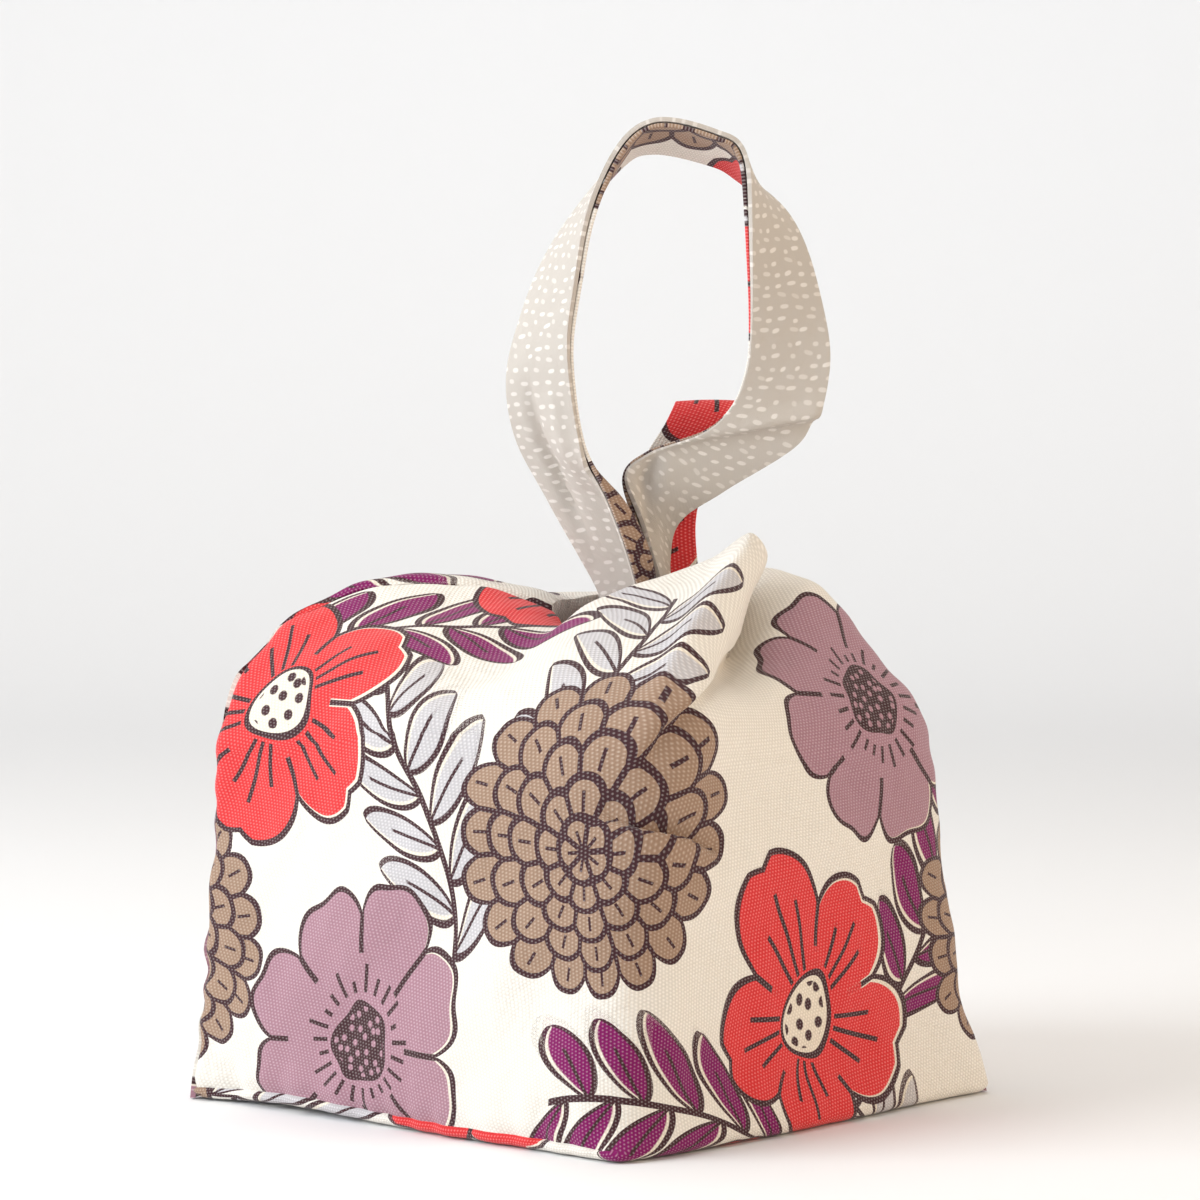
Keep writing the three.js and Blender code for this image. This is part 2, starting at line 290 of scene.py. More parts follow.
@dataclass(frozen=True)
class LappedFold:
    """A fold where the cloth on the right of a path laps over the cloth on its left.

    The path runs in (across, deep, up). At its first end the fold is full and at its last end
    it has run out; `starts_full` is False where it also grows from nothing.
    """

    name: str
    rise: float
    lap: float
    width: float
    path: tuple[Triple, ...]
    starts_full: bool = True
    most_thinning: float = 0.75
    thinning_narrowness: float = 0.7

    def closeness(self, arm: Array) -> Array:
        """1 on the path, falling to 0 beside it."""
        return np.exp(-(arm**2).sum(-1) / self.width**2)

    def shift(self, points: Array, normals: Array) -> Array:
        """How far the fold moves the cloth.

        Args:
            points: points of the cloth.
            normals: outward direction at each point.

        Returns:
            The move of each point.
        """
        arm, share, heading = beside(self.path, points)
        side = unit(np.cross(normals, heading))
        growth = np.sqrt(1 - share)
        if not self.starts_full:
            growth = growth * np.sqrt(share) * 2
        wave = -(arm * side).sum(-1) / self.width * math.sqrt(math.e) * self.closeness(arm) * growth
        return wave[..., None] * (self.rise * normals + self.lap * side)

    def thinning(self, points: Array) -> Array:
        """Thins the cloth where it is folded tightly, so that its layers run together less.

        Args:
            points: points of the cloth.

        Returns:
            Share of the thickness that is kept at each point.
        """
        arm = beside(self.path, points)[0]
        return 1 - self.most_thinning * self.closeness(arm * self.thinning_narrowness)


WALL_SECTIONS = (
    WallSection(0, 73, 102, 105.3, 101, 106.5, 0),
    WallSection(6, 73, 97, 104, 98, 105.5, 0),
    WallSection(13, 73, 96, 101.8, 97, 105, 0),
    WallSection(22, 73, 95, 98, 96, 104.4, 0),
    WallSection(38, 72.5, 94, 94.7, 95, 102, 1),
    WallSection(65, 72, 92, 91.5, 94, 100.6, 3),
    WallSection(92, 70, 90, 88.6, 92, 99.5, 7),
    WallSection(112, 66, 84, 82, 86, 92.6, 11),
)

FOLDS = (
    Fold("horn edge", 0.004, 92, (45.2, -12, 142), (31, -3, 131)),
    Fold("under the horn", 0.022, 94, (39, -12, 130), (32, -1, 127)),
    Fold("valley", 0.045, 96, (33, -16, 117), (33, 1, 125)),
    Fold("right slope", 0.11, 92, (46, -16, 124), (34, 4, 129)),
    Fold("right ridge", 0.18, 88, (58, -6, 131), (34, 8, 135)),
    Fold("right corner", 0.25, 84, (60, 5, 132), (34, 14, 136)),
    Fold("back right", 0.375, 94, (38, 38, 129), (29, 24, 131)),
    Fold("back corner", 0.5, 88, (8, 50, 124), (12, 29, 131)),
    Fold("back left", 0.625, 94, (-30, 40, 127), (-4, 23, 129)),
    Fold("left ridge", 0.7, 96, (-52, 20, 133), (-9, 15, 129)),
    Fold("left corner", 0.75, 90, (-77, 9, 128), (-11, 8, 128)),
    Fold("left face", 0.85, 98, (-42, -14, 124), (-9, 1, 126)),
    Fold("crest start", 0.905, 100, (-20, -28, 118), (-5, -5, 123)),
    Fold("crest", 0.945, 98, (-1, -18, 130), (5, -6, 124)),
    Fold("crest rise", 0.97, 96, (17, -15, 136), (14, -5, 126)),
    Fold("horn top", 0.986, 94, (30, -13.2, 141.4), (23, -4, 129)),
    Fold("horn tip", 0.995, 93, (39.8, -12.5, 148.6), (28, -3.5, 130.5)),
)

CREASES = (
    Crease("beside the corner", -1.4, 6.0, ((24, -70, 108), (20, -81, 98), (17, -86, 88))),
    Crease("over the dimple", -1.3, 6.0, ((10, -90, 88), (19, -84, 86), (30, -73, 82))),
    Crease("under the dimple", -1.2, 6.0, ((4, -92, 71), (16, -87, 66), (30, -73, 62))),
    Crease("long fold", 1.1, 9.0, ((2, -91, 86), (-8, -90, 66), (-17, -83, 44), (-24, -77, 26))),
    Crease("left slope", 0.9, 10.0, ((-26, -58, 108), (-44, -48, 92), (-60, -36, 66))),
    Crease("right slope", 1.0, 9.0, ((44, -42, 106), (62, -34, 84), (74, -28, 60))),
    Crease("left foot", 0.8, 8.0, ((-80, -22, 12), (-64, -38, 24), (-46, -56, 22))),
    Crease("right foot", 0.9, 7.0, ((38, -66, 8), (56, -48, 16), (76, -28, 12))),
    Crease("corner gather", 1.3, 3.0, ((-101, -3, 17), (-97, -6, 10), (-92, -11, 4))),
    Crease("beside the gather", -1.0, 3.2, ((-95, -6, 15), (-90, -12, 9), (-84, -18, 5))),
)


LAPPED_FOLDS = (
    LappedFold(
        "below the horn",
        3.6,
        6.0,
        4.6,
        ((36, -28, 124), (29, -52, 119.5), (23, -68, 114), (17.5, -80, 107.5), (11, -86, 102), (6, -89, 94)),
    ),
    LappedFold(
        "dimple",
        2.6,
        3.4,
        3.6,
        ((-4, -88.6, 82), (9, -90.6, 78.5), (17, -86, 76.5), (27, -77, 71.5)),
        starts_full=False,
    ),
)


@dataclass(frozen=True)
class BagForm:
    """The surface of the body. `at` goes once around the bag from the front corner over the
    right one; `down` goes from the hem (-1 to 0) over lip, crest and shoulder (0 to 2) down the
    wall (2 to 3), round the foot (3 to 4) and across the base (4 to 5)."""

    cloth: float = 2.2
    foot_round: float = 3.0
    hem_depth: float = 7.0
    base_clearance: float = 1.2
    lean_spread: float = 0.075
    squarest: float = 0.99
    pinch_spread: float = 0.014
    crest_flow: float = 0.9
    lip_drop: float = 0.5
    shoulder_run: float = 4.0
    first_side_degrees: float = 270.0
    back_overrun: float = 0.01

    def section(self, name: str, z: Array) -> Array:
        """One column of the wall sections.

        Args:
            name: the column.
            z: heights.

        Returns:
            The values at those heights.
        """
        return SmoothTable([s.z for s in WALL_SECTIONS], [getattr(s, name) for s in WALL_SECTIONS])(z)

    def fold(self, name: str, at: Array) -> Array:
        """One column of the folds at places around the bag."""
        return SmoothTable([f.at for f in FOLDS], [getattr(f, name) for f in FOLDS], 1.0)(at)

    def wall(self, at: Array, z: Array, inset: Array | float = 0.0) -> Array:
        """Points of the walls: rounded squares whose corners are pinched out to their distances.

        Args:
            at: places around the bag.
            z: heights.
            inset: how far inside the wall the points lie.

        Returns:
            The points.
        """
        place = np.mod(at, 1.0)
        sides = place * 4
        side, nearest = np.floor(sides), np.floor(sides + 0.5)
        corners = np.stack([self.section(name, z) for name in ("front", "right", "back", "left")])
        which = (nearest.astype(int) % 4) + np.zeros(np.shape(z), int)
        corner = np.take_along_axis(corners, which[None], 0)[0] - inset * math.sqrt(2)
        half = self.section("half", z) - inset
        square = np.minimum(corner, half * math.sqrt(2) * self.squarest)
        power = 1 / (0.5 - np.log2(square / half))
        angle = np.radians(self.first_side_degrees + 90 * side) + np.arctan(2 * (sides - side) - 1)
        spread = np.abs(np.cos(angle)) ** power + np.abs(np.sin(angle)) ** power
        off_corner = (sides - nearest) / 4
        pinch = (corner - square) * np.exp(-((off_corner / self.pinch_spread) ** 2))
        reach = half * spread ** (-1 / power) + pinch
        off_front = np.mod(place + 0.5, 1.0) - 0.5
        lean = self.section("lean", z) * np.exp(-((off_front / self.lean_spread) ** 2)) * math.sqrt(0.5)
        return np.stack([reach * np.cos(angle) + lean, reach * np.sin(angle) - lean, z + 0 * reach], -1)

    def foot(self, at: Array, turn: Array) -> Array:
        """Points of the round between wall and base, turned by an angle from upright to flat."""
        inset = self.foot_round * (1 - np.cos(turn))
        return self.wall(at, self.foot_round * (1 - np.sin(turn)) + 0 * at, inset)

    def top(self, at: Array, down: Array) -> Array:
        """Points between the hem and the shoulder.

        Args:
            at: places around the bag.
            down: places from the hem to the shoulder, -1 to 2.

        Returns:
            The points.
        """
        height = self.fold("shoulder", at)
        shoulder = self.wall(at, height)
        crest, lip = on_diagonals(self.fold("crest", at)), on_diagonals(self.fold("lip", at))
        flow = unit(lip - shoulder)
        to_crest = np.linalg.norm(crest - shoulder, axis=-1, keepdims=True)
        to_lip = np.linalg.norm(crest - lip, axis=-1, keepdims=True)
        rise = unit(shoulder - self.wall(at, height - self.shoulder_run)) * to_crest
        drop = lip - crest
        drop[..., 2] -= self.lip_drop * to_lip[..., 0]
        t = down[..., None]
        slope = cubic(shoulder, crest, rise, flow * to_crest * self.crest_flow, np.clip(2 - t, 0, 1))
        mouth = cubic(crest, lip, flow * to_lip * self.crest_flow, drop, np.clip(1 - t, 0, 1))
        points = np.where(t >= 1, slope, mouth)
        points[..., 2] += self.hem_depth * np.minimum(down, 0)
        return points

    def front(self, at: Array, down: Array) -> Array:
        """Points of the front cloth, base included.

        Args:
            at: places around the bag.
            down: places from the hem to the base, -1 to 5.

        Returns:
            The points.
        """
        at, down = np.broadcast_arrays(np.asarray(at, float), np.asarray(down, float))
        height = self.fold("shoulder", at)
        wall = self.wall(at, height + (self.foot_round - height) * np.clip(down - 2, 0, 1))
        foot = self.foot(at, np.clip(down - 3, 0, 1) * math.pi / 2)
        inner = self.wall(0.5 - at, self.cloth + 0 * at, self.cloth + self.base_clearance)
        inner[..., 2] = 0
        base = foot + (inner - foot) * np.clip(down - 4, 0, 1)[..., None]
        t = down[..., None]
        return np.where(t >= 4, base, np.where(t >= 3, foot, np.where(t >= 2, wall, self.top(at, down))))

    def back(self, at: Array, down: Array) -> Array:
        """Points of the back cloth, which stands on its lower edge at 3.

        Args:
            at: places around the bag.
            down: places from the hem to the lower edge, -1 to 3.

        Returns:
            The points.
        """
        at, down = np.broadcast_arrays(np.asarray(at, float), np.asarray(down, float))
        wall = self.wall(at, self.fold("shoulder", at) * (3 - np.clip(down, 2, 3 + self.back_overrun)))
        return np.where(down[..., None] >= 2, wall, self.top(at, down))


def lay_flat(points: Array, passes: int = 80) -> Array:
    """Lays a grid of cloth flat with as little stretch as it can.

    Args:
        points: grid of points, its rows going up and its columns to the right.
        passes: how often the patches are turned and joined again.

    Returns:
        Grid of flat places.
    """
    rows, columns = points.shape[:2]
    index = np.arange(rows * columns).reshape(rows, columns)
    a, b, c, d = (part.ravel() for part in (index[:-1, :-1], index[:-1, 1:], index[1:, 1:], index[1:, :-1]))
    patches = np.concatenate([np.stack([a, b, c], -1), np.stack([a, c, d], -1)])
    corner = points.reshape(-1, 3)[patches]
    side, other = corner[:, 1] - corner[:, 0], corner[:, 2] - corner[:, 0]
    length = np.linalg.norm(side, axis=-1)
    along = (other * side).sum(-1) / length
    shape = np.zeros((len(patches), 3, 2))
    shape[:, 1, 0], shape[:, 2, 0] = length, along
    shape[:, 2, 1] = np.sqrt(np.maximum((other**2).sum(-1) - along**2, FLATTEST))
    count = rows * columns
    stiff = np.zeros((count, count))
    edges = []
    for k in range(3):
        i, j = (k + 1) % 3, (k + 2) % 3
        to_i, to_j = shape[:, i] - shape[:, k], shape[:, j] - shape[:, k]
        crossed = np.abs(to_i[:, 0] * to_j[:, 1] - to_i[:, 1] * to_j[:, 0])
        weight = np.clip((to_i * to_j).sum(-1) / np.maximum(crossed, FLATTEST), *STIFFNESS_RANGE)
        edges.append((patches[:, i], patches[:, j], shape[:, i] - shape[:, j], weight))
        for p, q, sign in ((i, i, 1), (j, j, 1), (i, j, -1), (j, i, -1)):
            np.add.at(stiff, (patches[:, p], patches[:, q]), sign * weight)
    stiff[0, 0] += 1
    solve = np.linalg.inv(stiff)
    steps = np.linalg.norm(np.diff(points, axis=1), axis=-1)
    rises = np.linalg.norm(np.diff(points, axis=0), axis=-1)
    u = np.concatenate([np.zeros((rows, 1)), np.cumsum(steps, 1)], 1)
    u -= u[:, columns // 2 : columns // 2 + 1]
    v = np.concatenate([np.zeros((1, columns)), np.cumsum(rises, 0)], 0)
    flat = np.stack([u, v], -1).reshape(-1, 2)
    for _ in range(passes):
        turn_sin, turn_cos = 0.0, 0.0
        for i, j, run, weight in edges:
            now = flat[i] - flat[j]
            turn_sin = turn_sin + weight * (run[:, 0] * now[:, 1] - run[:, 1] * now[:, 0])
            turn_cos = turn_cos + weight * (run * now).sum(-1)
        turn = np.arctan2(turn_sin, turn_cos)
        cos, sin = np.cos(turn), np.sin(turn)
        pull = np.zeros((count, 2))
        for i, j, run, weight in edges:
            turned = np.stack([cos * run[:, 0] - sin * run[:, 1], sin * run[:, 0] + cos * run[:, 1]], -1)
            np.add.at(pull, i, turned * weight[:, None])
            np.add.at(pull, j, -turned * weight[:, None])
        pull[0] += flat[0]
        flat = solve @ pull
    return flat.reshape(rows, columns, 2)


def level(flat: Array) -> Array:
    """Turns a flat cloth so that its lower edge is level, with (0, 0) in the middle of it.

    Args:
        flat: grid of flat places, its rows going up.

    Returns:
        The turned grid.
    """
    run = flat[0, -1] - flat[0, 0]
    turn = -math.atan2(run[1], run[0])
    cos, sin = math.cos(turn), math.sin(turn)
    turned = flat @ np.array([[cos, sin], [-sin, cos]])
    return turned - turned[0, flat.shape[1] // 2]


# ---------------------------------------------------------------- shader arithmetic


class Field:
    """A number that varies over a surface, worked out by shader nodes."""

    def __init__(self, tree: bpy.types.NodeTree, socket: bpy.types.NodeSocket) -> None:
        """Keeps the node tree and the socket that gives the number."""
        self.tree, self.socket = tree, socket

    def op(self, operation: str, *others: Field | float) -> Field:
        """Adds one math node that starts from this number.

        Args:
            operation: name of the node's operation.
            others: the numbers that it also takes.

        Returns:
            The node's number.
        """
        node = self.tree.nodes.new("ShaderNodeMath")
        node.operation = operation
        for k, value in enumerate((self, *others)):
            plug(self.tree, value, node.inputs[k])
        return Field(self.tree, node.outputs[0])

    def __add__(self, other: Field | float) -> Field:
        """Sum."""
        return self.op("ADD", other)

    def __sub__(self, other: Field | float) -> Field:
        """Difference."""
        return self.op("SUBTRACT", other)

    def __rsub__(self, other: float) -> Field:
        """Difference from a plain number."""
        return (self * -1.0) + other

    def __mul__(self, other: Field | float) -> Field:
        """Product."""
        return self.op("MULTIPLY", other)

    def __truediv__(self, other: Field | float) -> Field:
        """Quotient."""
        return self.op("DIVIDE", other)

    def __pow__(self, other: Field | float) -> Field:
        """Power."""
        return self.op("POWER", other)

    __radd__, __rmul__ = __add__, __mul__

    def abs(self) -> Field:
        """Size without its sign."""
        return self.op("ABSOLUTE")

    def floor(self) -> Field:
        """Whole number below."""
        return self.op("FLOOR")

    def fract(self) -> Field:
        """Part after the point."""
        return self.op("FRACT")

    def sin(self) -> Field:
        """Sine."""
        return self.op("SINE")

    def clamp(self, low: float, high: float) -> Field:
        """The number kept between two others."""
        return self.op("MAXIMUM", low).op("MINIMUM", high)

    def below(self, edge: Field | float, soft: float = 0.12) -> Field:
        """1 where the number is under an edge and 0 over it, with a soft step of that width."""
        return ((edge - self) * (1 / soft) + 0.5).op("MAXIMUM", 0.0).op("MINIMUM", 1.0)

    def above(self, edge: Field | float, soft: float = 0.12) -> Field:
        """1 where the number is over an edge and 0 under it."""
        return ((self - edge) * (1 / soft) + 0.5).op("MAXIMUM", 0.0).op("MINIMUM", 1.0)

    def either(self, other: Field) -> Field:
        """The larger of two masks."""
        return self.op("MAXIMUM", other)

    def chance(self, salt: float) -> Field:
        """A repeatable draw for each whole number.

        Args:
            salt: number that sets this draw apart from others.

        Returns:
            The draw, from 0 to 1.
        """
        node = self.tree.nodes.new("ShaderNodeTexWhiteNoise")
        node.noise_dimensions = "1D"
        plug(self.tree, self * 1.37 + salt, node.inputs["W"])
        return Field(self.tree, node.outputs["Value"])


def plug(tree: bpy.types.NodeTree, value: Field | float, socket: bpy.types.NodeSocket) -> None:
    """Links a field to a socket, or sets the socket to a plain number.

    Args:
        tree: the node tree.
        value: the field or the number.
        socket: the socket that takes it.
    """
    if isinstance(value, Field):
        tree.links.new(value.socket, socket)
    else:
        socket.default_value = value


def motif_place(tree: bpy.types.NodeTree, name: str) -> tuple[Field, Field, Field]:
    """Place on the nearest motif of a kind, from an attribute of the mesh.

    Args:
        tree: the node tree.
        name: name of the attribute.

    Returns:
        Place across and up in mm from the motif's middle, and the motif's salt.
    """
    read = tree.nodes.new("ShaderNodeAttribute")
    read.attribute_name = name
    split = tree.nodes.new("ShaderNodeSeparateXYZ")
    tree.links.new(read.outputs["Vector"], split.inputs[0])
    x, y, z = (Field(tree, out) for out in split.outputs)
    return x, y, z


def flat_place(tree: bpy.types.NodeTree) -> tuple[Field, Field]:
    """Place on the flat cloth, from the piece's own UV map.

    Args:
        tree: the node tree.

    Returns:
        Place across and up, in mm.
    """
    read = tree.nodes.new("ShaderNodeUVMap")
    read.uv_map = "UVMap"
    split = tree.nodes.new("ShaderNodeSeparateXYZ")
    tree.links.new(read.outputs["UV"], split.inputs[0])
    return Field(tree, split.outputs[0]) * (1 / MM), Field(tree, split.outputs[1]) * (1 / MM)


def pattern(tree: bpy.types.NodeTree, kind: str, x: Field, y: Field, size: float) -> bpy.types.Node:
    """A texture node that reads a flat place.

    Args:
        tree: the node tree.
        kind: Blender's name for the node.
        x: place across, in mm.
        y: place up, in mm.
        size: how many mm one step of the pattern takes.

    Returns:
        The node.
    """
    at = tree.nodes.new("ShaderNodeCombineXYZ")
    plug(tree, x * (1 / size), at.inputs[0])
    plug(tree, y * (1 / size), at.inputs[1])
    node = tree.nodes.new(kind)
    node.inputs["Scale"].default_value = 1.0
    tree.links.new(at.outputs[0], node.inputs["Vector"])
    return node


def noise(tree: bpy.types.NodeTree, u: Field, v: Field, size: float, detail: float = 2.0) -> Field:
    """Smooth noise over the cloth.

    Args:
        tree: the node tree.
        u: place across the cloth, in mm.
        v: place up the cloth, in mm.
        size: width of its blots in mm.
        detail: how many finer layers it has.

    Returns:
        The noise, from 0 to 1.
    """
    node = pattern(tree, "ShaderNodeTexNoise", u, v, size)
    node.inputs["Detail"].default_value = detail
    return Field(tree, node.outputs["Fac"])


def dots(tree: bpy.types.NodeTree, x: Field, y: Field, pitch: float) -> Field:
    """Loosely placed dots.

    Args:
        tree: the node tree.
        x: place across, in mm.
        y: place up, in mm.
        pitch: middle distance between the dots, in mm.

    Returns:
        Distance to the nearest dot, in mm.
    """
    node = pattern(tree, "ShaderNodeTexVoronoi", x, y, pitch)
    node.voronoi_dimensions = "2D"
    node.inputs["Randomness"].default_value = 0.55
    return Field(tree, node.outputs["Distance"]) * pitch


class Colours:
    """Colours laid over each other on a cloth."""

    def __init__(self, tree: bpy.types.NodeTree, ground: Triple) -> None:
        """Starts from the ground colour."""
        self.tree, self.ground = tree, ground
        self.socket: bpy.types.NodeSocket | None = None

    def lay(self, colour: Triple, mask: Field, blend: str = "MIX") -> None:
        """Lays a colour over what is there.

        Args:
            colour: the colour.
            mask: 1 where it lies and 0 where it doesn't.
            blend: how it is laid.
        """
        node = self.tree.nodes.new("ShaderNodeMix")
        node.data_type, node.blend_type = "RGBA", blend
        plug(self.tree, mask, node.inputs[0])
        if self.socket is None:
            node.inputs[6].default_value = (*self.ground, 1)
        else:
            self.tree.links.new(self.socket, node.inputs[6])
        node.inputs[7].default_value = (*colour, 1)
        self.socket = node.outputs[2]


# ---------------------------------------------------------------- the print of the canvas


def srgb(code: str) -> Triple:
    """Linear colour of a six-digit hexadecimal colour.

    Args:
        code: the six digits.

    Returns:
        Red, green and blue.
    """
    parts = [int(code[k : k + 2], 16) / 255 for k in (0, 2, 4)]
    red, green, blue = (c / 12.92 if c <= 0.04045 else ((c + 0.055) / 1.055) ** 2.4 for c in parts)
    return red, green, blue


class Dye(Enum):
    """Colours of the print."""

    GROUND = srgb("F3EDE3")
    OUTLINE = srgb("46292E")
    CORAL = srgb("E63A3C")
    MAUVE = srgb("B08693")
    TAUPE = srgb("A78A74")
    MAGENTA = srgb("861562")
    GREY = srgb("CDC9CB")
    CREAM = srgb("F1E7D6")


class MotifKind(Enum):
    """Motifs of the print, the lower ones laid over the upper ones."""

    GREY_SPRIG = "grey_sprig"
    MAGENTA_SPRIG = "magenta_sprig"
    ZINNIA = "zinnia"
    COSMOS = "cosmos"
    BLOSSOM = "blossom"


@dataclass(frozen=True)
class Motif:
    """A motif of the repeat: its middle on the flat cloth in mm, its turn and its size."""

    kind: MotifKind
    across: float
    up: float
    turn: float = 0.0
    size: float = 1.0


MOTIFS = (
    Motif(MotifKind.BLOSSOM, -98, 128, 20),
    Motif(MotifKind.BLOSSOM, 72, 42, 64, 1.04),
    Motif(MotifKind.BLOSSOM, -30, -52, 110),
    Motif(MotifKind.BLOSSOM, 52, -30, 30, 0.9),
    Motif(MotifKind.COSMOS, -88, 36, 8),
    Motif(MotifKind.COSMOS, 86, 128, 30, 0.97),
    Motif(MotifKind.COSMOS, 112, -46, 70),
    Motif(MotifKind.ZINNIA, -8, 72, 0),
    Motif(MotifKind.ZINNIA, 146, 78, 40, 0.95),
    Motif(MotifKind.ZINNIA, -118, -48, 15, 0.95),
    Motif(MotifKind.MAGENTA_SPRIG, -66, 151, 10),
    Motif(MotifKind.MAGENTA_SPRIG, 22, 10, 170),
    Motif(MotifKind.MAGENTA_SPRIG, 116, 82, 80),
    Motif(MotifKind.GREY_SPRIG, -6, 106, 66),
    Motif(MotifKind.GREY_SPRIG, -52, 88, 100),
    Motif(MotifKind.GREY_SPRIG, 116, 4, 140),
    Motif(MotifKind.GREY_SPRIG, -142, 86, 75),
)


@dataclass(frozen=True)
class FloralPrint:
    """A generic print of garden flowers and leaf sprigs, repeated over the cloth."""

    repeat: tuple[float, float] = (296.0, 252.0)
    line: float = 1.5
    blossom_radius: float = 38.0
    cosmos_radius: float = 39.0
    zinnia_radius: float = 37.0
    leaf_pitch: float = 17.0
    leaf_degrees: float = 44.0
    stem_reach: float = 44.0
    wander: float = 2.2
    wander_length: float = 60.0
    blossom_petals: int = 5
    blossom_ribs: tuple[tuple[float, float], ...] = ((-0.42, 0.56), (-0.02, 0.66), (0.4, 0.52))
    cosmos_petals: int = 8
    cosmos_rays: int = 23
    zinnia_rings: tuple[tuple[float, int], ...] = ((1.0, 17), (0.79, 14), (0.58, 11), (0.38, 8), (0.2, 5))
    ring_turn: float = 0.37

    def mark(self, mesh: bpy.types.Mesh, flat: Array) -> None:
        """Gives each corner of a mesh its place on the nearest motif of each kind.

        Args:
            mesh: mesh of four-sided faces.
            flat: place of each corner on the flat cloth in mm, by face and corner.
        """
        drift = np.stack([Unevenness(seed, self.wander_length)(flat) for seed in (31, 32)], -1) * self.wander
        place = flat + drift
        middle = place.mean(1)
        for kind in MotifKind:
            spots, turns, sizes, salts = self.copies(kind, middle)
            gaps = np.linalg.norm(middle[:, None] - spots[None], axis=-1) / sizes[None]
            owner = gaps.argmin(1)
            arm = (place - spots[owner][:, None]) / sizes[owner][:, None, None]
            cos, sin = np.cos(turns[owner])[:, None], np.sin(turns[owner])[:, None]
            x = arm[..., 0] * cos + arm[..., 1] * sin
            y = arm[..., 1] * cos - arm[..., 0] * sin
            marks = np.stack([x, y, salts[owner][:, None] + 0 * x], -1)
            layer = mesh.attributes.new(kind.value, "FLOAT_VECTOR", "CORNER")
            layer.data.foreach_set("vector", marks.astype(np.float32).ravel())

    def copies(self, kind: MotifKind, middle: Array) -> tuple[Array, Array, Array, Array]:
        """Lists a kind's motifs over all repeats that a cloth covers.

        Args:
            kind: the kind.
            middle: middle of each face on the flat cloth, in mm.

        Returns:
            Places, turns, sizes and salts of the motifs.
        """
        step = np.asarray(self.repeat)
        first = np.floor(middle.min(0) / step).astype(int) - 1
        last = np.ceil(middle.max(0) / step).astype(int) + 1
        rows = []
        for order, motif in enumerate(m for m in MOTIFS if m.kind is kind):
            for i in range(first[0], last[0] + 1):
                for j in range(first[1], last[1] + 1):
                    spot = np.array([motif.across, motif.up]) + step * (i, j)
                    rows.append((*spot, math.radians(motif.turn), motif.size, order * 3.0))
        table = np.array(rows)
        return table[:, :2], table[:, 2], table[:, 3], table[:, 4]

    def paint(self, tree: bpy.types.NodeTree) -> Colours:
        """Draws all motifs.

        Args:
            tree: the node tree.

        Returns:
            The finished colours.
        """
        colours = Colours(tree, Dye.GROUND.value)
        self.sprig(colours, MotifKind.GREY_SPRIG, Dye.GREY)
        self.sprig(colours, MotifKind.MAGENTA_SPRIG, Dye.MAGENTA)
        self.zinnia(colours)
        self.cosmos(colours)
        self.blossom(colours)
        return colours

    def petals(self, x: Field, y: Field, count: int, phase: float = 0.0) -> tuple[Field, Field, Field, Field]:
        """Splits the plane into petals around a middle.

        Args:
            x: place across.
            y: place up.
            count: number of petals.
            phase: turn of the first one, in petals.

        Returns:
            Distance from the middle, place across the petal (-1 to 1), number of the petal
            and number of the gap beside it.
        """
        reach = (x * x + y * y).op("SQRT")
        turn = y.op("ARCTAN2", x) * (count / math.tau) + (count + phase)
        petal = (turn + 0.5).floor()
        across = (turn - petal) * 2.0
        return reach, across, petal.op("MODULO", float(count)), turn.floor().op("MODULO", float(count))

    def sliver(self, x: Field, y: Field, reach: Field, most: float) -> Field:
        """Width of the pale gap between outline and colour, which opens on one side."""
        side = (x * 0.8 - y * 0.6) / (reach + 1.0)
        return side.op("MAXIMUM", 0.0) * most + 0.35

    def blossom(self, colours: Colours) -> None:
        """Five broad notched petals around a pale seeded middle.

        Args:
            colours: the colours that it is laid on.
        """
        x, y, salt = motif_place(colours.tree, MotifKind.BLOSSOM.value)
        radius, count = self.blossom_radius, self.blossom_petals
        reach, across, petal, gap = self.petals(x, y, count)
        draw = (petal + salt * 7.0).chance(3.1)
        width = across.abs()
        notch = (1.0 - width / 0.2).op("MAXIMUM", 0.0) * 0.055
        rim = (0.66 + (0.29 + 0.08 * draw) * (1.0 - width**2.8) - notch) * radius
        inside = (rim - reach) / (1.0 + 1.1 * width * width)
        beside = reach * (1.0 - width) * (math.pi / count)
        start = (0.38 + 0.2 * (gap + salt * 7.0).chance(8.3)) * radius
        seam = beside.below(self.line / 2) * reach.above(start)
        outline = inside.abs().below(self.line / 2)
        sliver = self.sliver(x, y, reach, 1.5)
        fill = inside.above(sliver) * beside.above(sliver * 0.6).either(reach.below(start))
        cup = radius * 0.27 * (1.0 + 0.1 * (x * 0.23 + salt).sin() + 0.1 * (y * 0.31).sin())
        ribs = inside.below(-1.0)
        for spot, end in self.blossom_ribs:
            line = ((across - spot).abs() * reach * (math.pi / count)).below(self.line * 0.42)
            far = (end + 0.16 * draw) * radius
            ribs = ribs.either(line * reach.above(cup + 1.6) * reach.below(far))
        silhouette = inside.above(0.0)
        colours.lay(Dye.CREAM.value, silhouette)
        colours.lay(Dye.CORAL.value, fill * silhouette)
        colours.lay(Dye.OUTLINE.value, outline.either((seam.either(ribs)) * silhouette))
        middle = reach.below(cup)
        seeds = dots(colours.tree, x, y * 0.8, 4.6).below(1.35, 0.3) * reach.below(cup - 2.0)
        colours.lay(Dye.CREAM.value, middle)
        colours.lay(Dye.OUTLINE.value, seeds.either((reach - cup).abs().below(self.line / 2)))

